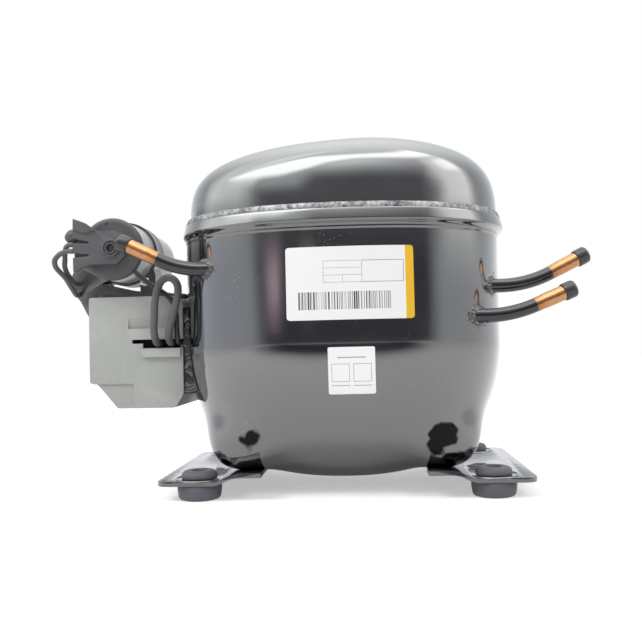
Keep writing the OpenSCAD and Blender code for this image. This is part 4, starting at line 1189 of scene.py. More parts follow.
def build_grommets():
    """Four rubber grommets, each a base, a neck in the plate's hole and a collar."""
    top = FOOT_Z - 0.05
    collar = FOOT_Z + FOOT_SHEET + 0.05
    base = [(-2.6, 0), (-1.5, 0.35), (-0.7, 1.3), (-0.35, 3.0), (0, 5.6), (0, top - 0.6),
            (-0.5, top)]
    head = [(-3.0, 0), (-2.3, 0.6), (-2.2, 1.6), (-2.7, 3.2), (-3.6, 4.2), (-4.8, 4.6)]
    hole = [(1.7, 4.6), (1.1, 4.3), (0.9, 3.6), (0.8, 1.2), (0, 0.8)]
    outline = ([(BORE_R + 0.5, 0)] + [(GROMMET_R + r, z) for r, z in base]
               + [(NECK_R, top), (NECK_R, collar)]
               + [(GROMMET_R + r, collar + z) for r, z in head]
               + [(BORE_R + r, collar + z) for r, z in hole] + [(BORE_R, 0.6)])
    four = [placed(lathe(outline), Matrix.Translation((x, y, 0)))
            for x in (-HOLE_X, HOLE_X) for y in (-HOLE_Y, HOLE_Y)]
    rubber = new_piece("grommets", joined(four), "grommet_rubber", sharp=60)
    seat(rubber, ["foot_grommets"])


class CompressorAddFeet(bpy.types.Operator):
    """Builds the two pressed foot plates and their four rubber grommets"""

    bl_idname = "compressor.add_feet"
    bl_label = "Feet"

    def execute(self, context):
        build_foot("right_plate", 1, "right_foot_plate")
        build_foot("left_plate", -1, "left_foot_plate")
        build_grommets()
        return {"FINISHED"}


# ---- Tubes ----
def tube_line(name):
    """Middle line of a tube from inside the housing to its open end, in its own frame."""
    _, _, first, bend, last, radius, _ = TUBES[name]
    a = radians(bend)
    turn = Vector((first, 0, radius))
    line = [Vector((x, 0, 0)) for x in range(-12, first, 2)]
    steps = int(radius * a / 1.2)
    line += [turn + radius * Vector((sin(a * i / steps), 0, -cos(a * i / steps)))
             for i in range(steps + 1)]
    straight = int(last / 0.75)
    start, way = line[-1], Vector((cos(a), 0, sin(a)))
    return line + [start + way * last * i / straight for i in range(1, straight + 1)]


def tube_end(name):
    """Frame at a tube's open end, with +Z outwards along it."""
    line = tube_line(name)
    bend = radians(TUBES[name][3])
    return (tube_matrix(name) @ Matrix.Translation(line[-1])
            @ Matrix.Rotation(-bend, 4, "Y") @ LAY_ALONG_X)


def build_tube(name):
    """A tube open at its far end, swollen there into a socket."""
    line = tube_line(name)
    left = [0.0]
    for a, b in zip(reversed(line[:-1]), reversed(line[1:])):
        left.append(left[-1] + (b - a).length)
    left.reverse()
    radii = []
    for i, from_end in enumerate(left):
        swell = (SOCKET_R - TUBE_R) * smooth_step((SWELL_LENGTH - from_end) / SWELL_SLOPE)
        radii.append((i, TUBE_R + swell - (0.25 if from_end == 0 else 0.0)))
    for i, from_end in reversed(list(enumerate(left))):
        narrow = 0.3 * smooth_step((from_end - SOCKET_DEPTH + 0.5) / 1.5)
        radii.append((i, SOCKET_BORE_R - narrow + (0.2 if from_end == 0 else 0.0)))
    frames = path_frames(line)
    rings = [[around(frames[i], r, a) for a in round_angles(TUBE_SIDES)] for i, r in radii]
    end = tube_end(name)
    finish = f"{name}_tube_finish"
    make_tube_finish(finish, end.translation, (end.to_3x3() @ Z_AXIS).normalized(),
                     TUBES[name][-1])
    tube = new_piece(f"{name}_pipe", placed(loft(rings, loop=True), tube_matrix(name)), finish,
                     sharp=60)
    seat(tube, [f"{name}_tube"])


def build_cap(name):
    """A short rubber cap pushed over a tube's open end."""
    inner, low, top = SOCKET_R + 0.05, -CAP_COVER, CAP_LENGTH - CAP_COVER
    outline = [(0, top), (CAP_R - 1.6, top), (CAP_R - 0.75, top - 0.25), (CAP_R - 0.2, top - 0.9),
               (CAP_R, top - 1.9), (CAP_R, low + 1.6), (CAP_R - 0.08, low + 0.6),
               (CAP_R - 0.35, low + 0.12), (CAP_R - 0.6, low), (inner, low), (inner, 0.05),
               (0, 0.05)]
    cap = new_piece(f"{name}_rubber_cap", placed(lathe(outline, 64), tube_end(name)),
                    "cap_rubber", sharp=60)
    seat(cap, [f"{name}_tube_cap"], f"{name}_cap")


def wall_reach(matrix, a, r):
    """How far along a tube its line at angle a and radius r comes out of the wall."""
    low, high = -6.0, 30.0
    for _ in range(40):
        mid = (low + high) / 2
        p = matrix @ Vector((mid, *polar(r, a, 0).xy))
        inside = hypot(p.x, p.y) < bowl_radius(atan2(p.y, p.x))
        low, high = (mid, high) if inside else (low, mid)
    return (low + high) / 2


# radius, rise along the tube, share of the unevenness
BRAZE_SECTION = [(4.04, -2.0, 0), (4.04, 1.6, 1), (4.35, 1.5, 1), (4.8, 0.9, 1),
                 (5.3, 0.45, 1), (5.9, 0.12, 0.5), (5.9, -0.5, 0)]
SPATTER_COUNT = 40


def braze_ring(name, chance):
    """The fillet where a tube meets the wall, and the spatter round it."""
    matrix = tube_matrix(name)
    rings = []
    for k, (r, rise, rough) in enumerate(BRAZE_SECTION):
        ring = []
        for a in round_angles(96):
            where = Vector((cos(a) * 2.4, sin(a) * 2.4, k * 0.3 + len(name)))
            lump = 1 + 0.5 * noise.noise(where) * rough
            wide = 1 + 0.09 * noise.noise(where * 2) * rough
            at = wall_reach(matrix, a, r) + rise * lump
            ring.append(Vector((at, *polar(r * wide, a, 0).xy)))
        rings.append(ring)
    parts = [loft(rings, loop=True)]
    for _ in range(SPATTER_COUNT):
        a, r = chance.uniform(0, 2 * pi), 5.6 + abs(chance.gauss(0, 1.5))
        size = chance.uniform(0.12, 0.34)
        bead = lathe([(0, -size * 0.5), (size * 0.8, -size * 0.35), (size, 0),
                      (size * 0.7, size * 0.45), (0, size * 0.65)], 10)
        at = Vector((wall_reach(matrix, a, r), *polar(r, a, 0).xy))
        parts.append(placed(bead, Matrix.Translation(at) @ LAY_ALONG_X))
    return placed(joined(parts), matrix)


class CompressorAddTubes(bpy.types.Operator):
    """Builds the three copper tubes, their brazed roots and their rubber caps"""

    bl_idname = "compressor.add_tubes"
    bl_label = "Tubes"

    def execute(self, context):
        chance = random.Random(SEED)
        for name in TUBES:
            build_tube(name)
            build_cap(name)
        rings = joined([braze_ring(name, chance) for name in TUBES])
        roots = new_piece("brazed_roots", rings, "braze_metal", sharp=60)
        seat(roots, ["tube_braze_rings"])
        return {"FINISHED"}


# ---- Relay cover ----
def cover_outline(inset):
    left, right = COVER_LEFT + inset, COVER_RIGHT - inset
    top, bottom = COVER_TOP - inset, COVER_BOTTOM + inset
    return rounded([(left, top), (right - 6, top), (right - 1.5, top - 1.5), (right, top - 6),
                    (right, bottom + 8), (right - 5, bottom), (left + 16.5, bottom),
                    (left + 4.5, bottom + 14.5), (left, bottom + 15.5)],
                   [1.6, 2, 2, 2, 1.5, 1.5, 1.2, 1.2, 1.0])


def build_cover():
    """The hollow cover, open towards the housing at its right side."""
    left, right, low, front = COVER_LEFT, COVER_RIGHT, COVER_BOTTOM, COVER_FRONT
    wall = COVER_WALL
    slot_top = SLOT_Z + 5.6
    lip_top = slot_top + 6.6
    scoop_top = lip_top + 7.2
    cover = new_piece("grey_cover", prism(cover_outline(0), front, COVER_BACK),
                      "cover_plastic")
    cut(cover,
        block((left - 2, front - 1, low - 2), (left + 26.7, front + 1.3, low + 14.8)),
        prism([(front - 2, scoop_top), (front, scoop_top), (front + 1.5, lip_top),
               (front - 2, lip_top)], left + 24, right + 3, "x"))
    soften(cover, 0.55)
    lips = [prism(rounded([(right - 34.5, lip_top), (right + 0.2, lip_top),
                           (right + 0.2, slot_top), (right - 30.7, slot_top)],
                          radius=0.5), front - 0.9, front + 1.6),
            prism(rounded([(right - 26, SLOT_Z), (right - 0.8, SLOT_Z),
                           (right - 1.2, SLOT_Z - 5), (right - 23.5, SLOT_Z - 5)],
                          radius=0.5), front - 2.5, front + 1)]
    merge(cover, *lips)
    cut(cover,
        prism(cover_outline(wall), front + wall, COVER_BACK - wall),
        block((right - wall - 6, front + wall, low + 8),
              (right + 14, COVER_BACK - wall, COVER_TOP - 7)),
        prism([(right - 30.7, SLOT_Z + 3.2), (right - 24.3, SLOT_Z + 3.2),
               (right - 24.3, SLOT_Z + 0.4), (right + 3, SLOT_Z + 0.4),
               (right + 3, slot_top), (right - 30.7, slot_top)], front - 4, front + 4),
        bowl_form(0.3))
    seat(cover, ["relay_cover"])


class CompressorAddCover(bpy.types.Operator):
    """Builds the moulded relay cover with its slot, lips, scoop and set-back corner"""

    bl_idname = "compressor.add_cover"
    bl_label = "Relay cover"

    def execute(self, context):
        build_cover()
        return {"FINISHED"}


# ---- Capacitor ----
def plate_outline(points):
    return [(CAN_X + x, CAN_Z + z) for x, z in points]


def build_can():
    """The rolled can, with two beads near its front and a folded back edge."""
    r = CAN_R
    outline = [(0, 0), (r - 1.2, 0), (r - 0.4, 0.35), (r, 1.2), (r, 3.2), (r - 0.25, 4.0),
               (r - 1.0, 4.5), (r - 1.1, 5.6), (r - 0.9, 6.6), (r - 0.3, 7.2), (r, 8.0),
               (r, 9.6), (r - 0.8, 10.1), (r - 0.8, 10.9), (r, 11.4),
               (r, CAN_LENGTH - 2.0), (r - 0.5, CAN_LENGTH - 0.7), (r - 1.7, CAN_LENGTH),
               (r - 3.2, CAN_LENGTH - 0.25), (r - 3.8, CAN_LENGTH - 1.1), (0, CAN_LENGTH - 1.1)]
    can = new_piece("start_can", placed(lathe(outline, 128), AT_CAN), "can_skin",
                    sharp=40)
    seat(can, ["capacitor_can"])


def build_end_cap():
    """The moulded cap over the can's front: disc, raised face, fin, hub and two lead slots."""
    r = CAN_R + 0.3
    disc = lathe([(0, -3.6), (r - 4.6, -3.6), (r - 4.0, -3.75), (r - 2.0, -3.75),
                  (r - 0.9, -3.4), (r - 0.25, -2.8), (r, -2.0), (r, -0.05), (0, -0.05)], 128)
    cap = new_piece("can_end_cap", placed(disc, AT_CAN), "end_cap_plastic")
    y = CAN_FRONT
    face = rounded(plate_outline([(9.1, 5.2), (4.1, 10.6), (-7.5, 10.6), (-9.5, 11.6),
                                  (-21.1, 17.5), (-21.7, 9.5), (-22.1, 7.0), (-21.9, -6.0),
                                  (-21.8, -13.4), (-12.0, -9.2), (4.5, -9.2), (9.5, -4.4)]),
                   [1.6, 1.2, 1.5, 1.5, 0.6, 0.6, 0.6, 0.6, 0.6, 1.2, 1.2, 1.6], 3)
    fin = rounded(plate_outline([(-8.5, 10.8), (-14.5, 15.4), (-21.3, 18.0), (-21.4, 11.5),
                                 (-14.5, 9.4)]), 0.5, 3)
    merge(cap, prism(face, y - 7.2, y - 3.2), prism(fin, y - 8.4, y - 4.4))
    boss = lathe([(0, -8.8), (5.0, -8.8), (5.4, -8.4), (5.4, -4), (0, -4)], 64)
    merge(cap, placed(boss, AT_HUB))
    groove = lathe([(3.3, -9.5), (4.1, -9.5), (4.1, -7.9), (3.3, -7.9)], 64)
    bore = solid_rod(2.5, -10, -6.2, 48)
    slots = []
    for z, lean in ((4.6, -0.9), (-4.6, 0.9)):
        slots.append(prism(rounded(plate_outline([(-24, z + 2.6), (-12.4, z + lean + 0.6),
                                                  (-12.4, z + lean - 0.6), (-24, z - 0.6)]),
                                   0.5, 2), y - 11, y - 4.4))
    cut(cap, placed(groove, AT_HUB), placed(bore, AT_HUB), *slots)
    soften(cap, 0.3)
    seat(cap, ["capacitor_end_cap"])
    where, _ = on_surface(IMAGE_POINTS["end_cap_dot"], surface_of("can_end_cap"))
    dot = lathe([(0, -0.25), (0.7, -0.2), (0.9, 0.0), (0.9, 0.5), (0, 0.5)], 24)
    mark = new_piece("end_cap_mark", placed(dot, Matrix.Translation(where) @ LAY_ALONG_Y),
                     "black_sleeve")
    seat(mark)


def build_screw():
    """The clamp screw, with a slot across its head."""
    low, high = cad_box_mm("strap_screw")
    x, z = (low.x + high.x) / 2, (low.z + high.z) / 2
    head = lathe([(0, 0.1), (1.2, 0.02), (2.2, 0.0), (2.9, 0.35), (3.2, 1.1), (3.2, 2.5),
                  (1.5, 2.5), (1.5, 14.8), (0, 14.8)], 48)
    at_screw = Matrix.Translation((x, low.y, z)) @ LAY_ALONG_Y
    screw = new_piece("clamp_screw", placed(head, at_screw), "bright_screw")
    cut(screw, block((x - 4, low.y - 1, z - 0.5), (x + 4, low.y + 0.9, z + 0.5)))
    soften(screw, 0.12)
    seat(screw, ["strap_screw"])
    return x, z, at_screw


def build_strap(x, z, at_screw):
    """The clamp round the can, with the ear that its screw passes."""
    low, high = cad_box_mm("capacitor_strap")
    near, far = low.y - CAN_FRONT, high.y - CAN_FRONT
    inner = CAN_R + 0.05
    band = lathe([(inner, near), (inner + 1.5, near), (inner + 1.6, near + 0.4),
                  (inner + 1.2, near + 3), (inner + 1.2, far - 3), (inner + 1.6, far - 0.4),
                  (inner + 1.5, far), (inner, far)], 128)
    strap = new_piece("clamp_band", placed(band, AT_CAN), "bracket_paint")
    ear = rounded([(x - 3.5, z + 9.8), (x + 4.6, z + 9.8), (x + 6.3, z + 4.0),
                   (x + 6.3, EAR_Z + 0.1), (x - 3.5, EAR_Z + 0.1)], [0.9, 3, 2, 0.9, 0.9])
    merge(strap, prism(ear, low.y, high.y))
    cut(strap, placed(solid_rod(inner, -10, 90, 128), AT_CAN),
        placed(solid_rod(1.6, -5, 40, 32), at_screw))
    soften(strap, 0.25)
    seat(strap, ["capacitor_strap"])


class CompressorAddCapacitor(bpy.types.Operator):
    """Builds the start capacitor: rolled can, moulded end cap, clamp and clamp screw"""

    bl_idname = "compressor.add_capacitor"
    bl_label = "Capacitor"

    def execute(self, context):
        build_can()
        build_end_cap()
        build_strap(*build_screw())
        return {"FINISHED"}


# ---- Bracket and leads ----
def build_bracket():
    """The arm that carries the capacitor above the relay cover."""
    low, high = cad_box_mm("capacitor_bracket")
    thick = 2.2
    base = COVER_TOP + 0.05
    outline = [(COVER_LEFT - 11.5, COVER_TOP + 21.5), (CAN_X - 10, COVER_TOP + 21.5),
               (CAN_X - 10.7, COVER_TOP + 11.2), (CAN_X - 15.3, COVER_TOP + 10),
               (CAN_X + 8.5, EAR_Z), (CAN_X + 20, EAR_Z), (COVER_RIGHT - 7, base + thick),
               (COVER_RIGHT - 2, base + thick), (COVER_RIGHT - 2, base),
               (COVER_LEFT - 0.05, base), (COVER_LEFT - 0.05, COVER_TOP - 14),
               (COVER_LEFT - 3, COVER_TOP - 14), (COVER_LEFT - 6.4, COVER_TOP - 10),
               (COVER_LEFT - 11.4, COVER_TOP), (COVER_LEFT - 16, COVER_TOP + 4),
               (COVER_LEFT - 16.3, COVER_TOP + 16.5)]
    turns = [2.0, 0.3, 0.3, 2, 5, 3, 3, 0.6, 0.3, 0.1, 0.3, 1, 2, 3, 2, 3]
    arm = new_piece("clamp_bracket", prism(rounded(outline, turns, 5), low.y, high.y),
                    "bracket_paint")
    cut(arm, placed(solid_rod(CAN_R + 1.7, -60, 60, 128), AT_CAN))
    soften(arm, 0.45)
    seat(arm, ["capacitor_bracket"])


def moved(points, origin):
    return [Vector(p) + Vector(origin) for p in points]


# routes of the leads: RELAY_LEAD from SLOT_AT, the others from CAN_AT
RELAY_LEAD = [(-15, 10, 3), (-15, 3, 3), (-15, -3, 4), (-15, -7, 7.5), (-15, -8.5, 12.5),
              (-14.5, -9, 18.5), (-14, -9.5, 25.5), (-13, -10, 31.5), (-11.5, -10, 36.5),
              (-9, -10, 40), (-5.5, -10, 41.5), (-2, -10, 40), (0, -10, 36.5), (0, -10, 31.5),
              (-1.5, -9.5, 25.5), (-3.5, -9, 18.5), (-5.5, -8.5, 12.5), (-6.5, -7, 7.5),
              (-7, -3, 4), (-7, 3, 3), (-7, 10, 3)]
OUTER_LEAD = [(-22.2, -5.7, -0.9), (-26, -5.7, -0.9), (-30, -5.5, -2.2), (-33.5, -4.6, -5),
              (-34.6, -3, -7.5), (-34.6, -0.5, -10), (-33.5, 3, -12.5), (-32, 7, -15.5),
              (-31, 11.5, -19.5), (-30.2, 15.5, -23), (-30, 19, -25), (-30, 21.9, -25)]
INNER_LEAD = [(-22.2, -5.7, 2.9), (-24.6, -5.7, 2.9), (-27.2, -4, 1.6), (-28.8, -1.6, -1.4),
              (-30, 1.2, -5.2), (-31.2, 4, -8.7), (-31.6, 8, -12), (-31.2, 13, -15.2),
              (-31, 17, -17.2), (-31, 19, -17.5), (-31, 21.9, -17.5)]
SIDE_LEAD = [(13.22, -1.5, -13.22), (15.5, -1.5, -15.5), (19.5, -0.4, -19.2),
             (25, 0.7, -23.3), (31.2, 1, -27.5), (36, 1.2, -33.2), (37, 1.4, -40),
             (37, 1.8, -47), (37.1, 2.6, -52), (37.1, 4.2, -55.2), (37.1, 6, -56.4),
             (37.1, 8.25, -56.4)]
BOOT = [(-19.8, -3.6, 9.5), (-22.4, -3.4, 8.6), (-24.8, -3.2, 7.6), (-27.4, -3, 6.6)]


def build_lead(name, points, radius, finish, replaces=()):
    """A sleeved lead along its route, very slightly uneven."""
    def uneven(at, a):
        return 0.05 * noise.noise(at * 0.25 + Vector((cos(a), sin(a), 0)))

    part = swept(flowing(points, 10), lambda i: radius, wobble=uneven)
    seat(new_piece(name, part, finish, sharp=60), replaces)


class CompressorAddLeads(bpy.types.Operator):
    """Builds the capacitor's bracket, the sleeved leads and the boot on a terminal"""

    bl_idname = "compressor.add_leads"
    bl_label = "Bracket and leads"

    def execute(self, context):
        build_bracket()
        thick = electrics().lead_width / MM / 2
        build_lead("slot_lead", moved(RELAY_LEAD, SLOT_AT), thick, "lead_sleeve",
                   ["relay_lead"])
        build_lead("can_outer_lead", moved(OUTER_LEAD, CAN_AT), 1.55, "lead_sleeve",
                   ["capacitor_leads"])
        build_lead("can_inner_lead", moved(INNER_LEAD, CAN_AT), 1.5, "lead_sleeve")
        build_lead("can_side_lead", moved(SIDE_LEAD, CAN_AT), 1.5, "black_sleeve")
        boot = swept(flowing(moved(BOOT, CAN_AT), 8),
                     lambda i: 1.6 + 2.5 * sin(pi * min(1.0, (i + 2) / 26)) ** 0.7)
        seat(new_piece("terminal_boot", boot, "end_cap_plastic", sharp=60))
        return {"FINISHED"}


# ---- Labels ----
FILM = 0.38
FILM_GAP = 0.03
FILM_STEP = 1.5
FILM_CLOSEST = 0.04


def film_grid(xs, zs, corner, surface):
    """Rows of places on the wall under a label, drawn in at its rounded corners."""
    rows = []
    for z in zs:
        near = min(z - zs[0], zs[-1] - z, corner)
        inset = corner - sqrt(max(0.0, corner ** 2 - (corner - near) ** 2))
        row = []
        for x in xs:
            held = min(max(x, xs[0] + inset), xs[-1] - inset)
            hit, normal, _, _ = surface[0].ray_cast(Vector((held, -200, z)), Vector((0, 1, 0)))
            row.append((hit, -normal if normal.y > 0 else normal))
        rows.append(row)
    return rows


def film_lines(low, high, ends, corner):
    """Where a film is divided: its ends, the edges of its marks and even steps between."""
    edges = {low, high}
    edges.update(v for v in ends if low < v < high)
    edges.update(low + FILM_STEP * i for i in range(1, int((high - low) / FILM_STEP) + 1))
    for end, way in ((low, 1), (high, -1)):
        edges.update(end + way * corner * i / 8 for i in range(1, 8))
    done = []
    for v in sorted(edges):
        if not done or v - done[-1] > FILM_CLOSEST:
            done.append(v)
    return done


def film_piece(name, low, high, corner, marks, finishes, surface):
    """A label film on the wall; marks are (x, x, z, z, finish number) rectangles."""
    xs = film_lines(low.x, high.x, [v for m in marks for v in m[:2]], corner)
    zs = film_lines(low.z, high.z, [v for m in marks for v in m[2:4]], corner)
    rows = film_grid(xs, zs, corner, surface)
    wide = len(xs)
    outer = [hit + normal * FILM for row in rows for hit, normal in row]
    inner = [hit + normal * FILM_GAP for row in rows for hit, normal in row]
    faces, slots = [], []
    for j in range(len(zs) - 1):
        for i in range(wide - 1):
            a = j * wide + i
            if (outer[a] - outer[a + 1]).length < 1e-6:
                continue
            x, z = (xs[i] + xs[i + 1]) / 2, (zs[j] + zs[j + 1]) / 2
            faces.append((a, a + 1, a + wide + 1, a + wide))
            slots.append(next((m[4] for m in marks
                               if m[0] < x < m[1] and m[2] < z < m[3]), 0))
    base = len(outer)
    edges = {}
    for face in faces:
        for a, b in zip(face, face[1:] + face[:1]):
            edges.setdefault(frozenset((a, b)), []).append((a, b))
    rims = [uses[0] for uses in edges.values() if len(uses) == 1]
    backs = [tuple(base + v for v in reversed(face)) for face in faces]
    backs += [(a, b, base + b, base + a) for a, b in rims]
    return new_piece(name, (outer + inner, faces + backs), *finishes, sharp=60,
                     face_slots=slots + [0] * len(backs))


def frame_marks(x0, x1, z0, z1, line, ink):
    """The four thin lines of a printed box."""
    return [(x0, x1, z0, z0 + line, ink), (x0, x1, z1 - line, z1, ink),
            (x0, x0 + line, z0, z1, ink), (x1 - line, x1, z0, z1, ink)]


LINE, WIDE_LINE = 0.24, 0.3
BAR_RUN, BAR_HEIGHT = 49, 9.4
BAR_WIDTHS = (0.3, 0.3, 0.55, 0.8)
BAR_GAPS = (0.35, 0.35, 0.6, 0.85)
YELLOW, INK, GREY_INK = 1, 2, 3


def rating_marks(low, high, wall):
    """The stripe, the ruled box and the plain bars, set out from their image points."""
    stripe, first, last, bars = [
        on_surface(IMAGE_POINTS[name], wall)[0]
        for name in ("stripe_left", "table_top_left", "table_low_right", "bars_low_left")]
    x0, x1, z0, z1 = first.x, last.x, last.z, first.z
    middle = x0 + (x1 - x0) * 0.48
    third = (z1 - z0) * 0.33
    half = x0 + (middle - x0) * 0.5
    marks = [(stripe.x, high.x + 1, low.z - 1, high.z + 1, YELLOW)]
    marks += frame_marks(x0, middle + LINE, z0, z1, LINE, GREY_INK)
    marks += frame_marks(middle, x1, z0, z1, LINE, INK)
    for z in (z0 + third, z0 + (z1 - z0) * 0.66):
        marks.append((x0, middle, z, z + LINE, GREY_INK))
    marks.append((half, half + LINE, z0, z0 + third, GREY_INK))
    chance = random.Random(SEED + 1)
    x = bars.x
    while x < bars.x + BAR_RUN:
        wide = chance.choice(BAR_WIDTHS)
        marks.append((x, x + wide, bars.z, bars.z + BAR_HEIGHT,
                      chance.choice((INK, INK, GREY_INK))))
        x += wide + chance.choice(BAR_GAPS)
    return marks


def approval_marks(low):
    """Two ruled boxes with a line under each, and a line above them."""
    marks = []
    for left, right in ((low.x + 1.8, low.x + 11.4), (low.x + 13.4, low.x + 23)):
        marks += frame_marks(left, right, low.z + 6.6, low.z + 16.2, WIDE_LINE, 1)
        marks.append((left, right, low.z + 4.4, low.z + 4.8, 1))
    marks.append((low.x + 5, low.x + 20, low.z + 19.2, low.z + 19.8, 1))
    return marks


class CompressorAddLabels(bpy.types.Operator):
    """Builds the two label films, with a ruled box, plain bars and a yellow stripe"""

    bl_idname = "compressor.add_labels"
    bl_label = "Labels"

    def execute(self, context):
        wall = surface_of("lower_shell")
        low, high = cad_box_mm("rating_label")
        film = film_piece("rating_film", low, high, 1.7, rating_marks(low, high, wall),
                          ["label_film", "label_yellow", "label_ink", "label_grey_ink"], wall)
        seat(film, ["rating_label"])
        low, high = cad_box_mm("approval_label")
        film = film_piece("approval_film", low, high, 0.9, approval_marks(low),
                          ["label_film", "label_grey_ink"], wall)
        seat(film, ["approval_label"])
        return {"FINISHED"}


# ---- Finishes of the CAD nodes that stay ----
NODE_FINISH = {
    "plain_steel": ("terminal_header", "lower_spring_seats", "stator_bolts", "oil_pickup",
                    "oil_gallery_plug", "valve_plate_body", "head_bolts"),
    "pin_metal": ("terminal_pins",), "pin_glass": ("pin_glass_seals",),
    "fence_paint": ("terminal_fence",), "enamelled_wire": ("stator_windings",),
    "relay_plastic": ("start_relay", "overload_protector"),
    "spring_steel": ("suspension_springs", "valve_stop"),
    "plug_plastic": ("upper_spring_seats", "motor_plug"),
    "laminations": ("stator_core", "rotor_core"),
    "alloy_casting": ("rotor_end_rings", "cylinder_head"),
    "turned_shaft": ("crankshaft", "piston_yoke"),
    "sintered_iron": ("thrust_washer", "slide_block"), "iron_casting": ("cylinder_block",),
    "gasket_fibre": ("cylinder_gasket", "head_gasket"),
    "reed_steel": ("suction_reed", "discharge_reed"),
    "muffler_plastic": ("suction_muffler",), "brazed_shell": ("discharge_muffler",),
    "copper_line": ("discharge_line",), "blue_wire": ("motor_leads",),
}


class CompressorFinishInside(bpy.types.Operator):
    """Gives each motor, pump and terminal part its own finish"""

    bl_idname = "compressor.finish_inside"
    bl_label = "Inside finishes"

    def execute(self, context):
        for finish, names in NODE_FINISH.items():
            for name in names:
                for slot in frame["nodes"][name].material_slots:
                    slot.material = FINISHES[finish]
        return {"FINISHED"}


# ---- Stage ----
FLOOR_GLOW = 0.42
SHADE_HALF_X, SHADE_HALF_Y = 0.095, 0.068
SHADE_START, SHADE_END = 1.5, 0.6
SHADE_DEPTH = 0.9
ROOM_RADIUS = 3200.0
ROOM_PEAK = 6.0
ROOM_RINGS = 24
GROUND_FRONT = 2.1
GROUND_FAR, GROUND_NEAR = 1.7, 1.0


def camera_only(tree):
    """1 for camera, mirror and glass rays, 0 for light that falls on things."""
    path = add(tree, "LightPath").outputs
    both = sums(tree, "ADD", path["Is Camera Ray"], path["Is Glossy Ray"], clamp=True)
    return sums(tree, "ADD", both, path["Is Transmission Ray"], clamp=True)


def make_world(strength):
    world = bpy.data.worlds.new("Pale room")
    world.use_nodes = True
    tree = world.node_tree
    dress(tree, tree.nodes["Background"].inputs, Color=(1.0, 1.0, 1.0),
          Strength=between(tree, camera_only(tree), strength, 1.0))
    bpy.context.scene.world = world


def ease(tree, value, low, high):
    """0 below low, 1 above high, with a soft step between."""
    return stretch(tree, value, low, high, interpolation_type="SMOOTHSTEP")


def window(tree, value, low, high, soft):
    """1 between low and high, fading out over soft on each side."""
    return times(tree, ease(tree, value, low - soft, low + soft),
                 ease(tree, value, high + soft, high - soft))


def squared_distance(tree, x, y):
    return plus(tree, times(tree, x, x), times(tree, y, y))


def level_rectangle(name, xs, ys, z):
    """A level rectangle with the finish of its own name."""
    points = [(x, y, z) for y in ys for x in xs]
    return new_piece(name, (points, [(0, 1, 3, 2)]), name)


def make_floor(color):
    """The pale floor; gloss sees it darker under the body."""
    tree, shader = new_material("floor", Roughness=0.85, Emission_Color=(1.0, 1.0, 1.0))
    tooth = place_group(tree, "grain", Scale=60.0, Tone_Scale=3.0)
    place = add(tree, "SeparateXYZ", (object_place(tree),)).outputs
    square = squared_distance(tree, times(tree, place[0], 1 / SHADE_HALF_X),
                              times(tree, place[1], 1 / SHADE_HALF_Y))
    under = times(tree, ease(tree, square, SHADE_START, SHADE_END), SHADE_DEPTH)
    mirrored = add(tree, "LightPath").outputs["Is Glossy Ray"]
    lit = sums(tree, "SUBTRACT", 1.0, times(tree, under, mirrored))
    dress(tree, shader,
          Base_Color=blended(tree, tooth["Tone"], tinted(color, 0.985), tinted(color, 1.0)),
          Emission_Strength=times(tree, camera_only(tree), lit, FLOOR_GLOW))
    floor = level_rectangle("floor", (-3000, 3000), (-2500, 3500), 0)


def mirror_only(piece):
    """Leaves a stage piece to be seen in gloss and nowhere else."""
    for kind in ("camera", "diffuse", "shadow", "transmission", "volume_scatter"):
        setattr(piece, "visible_" + kind, False)


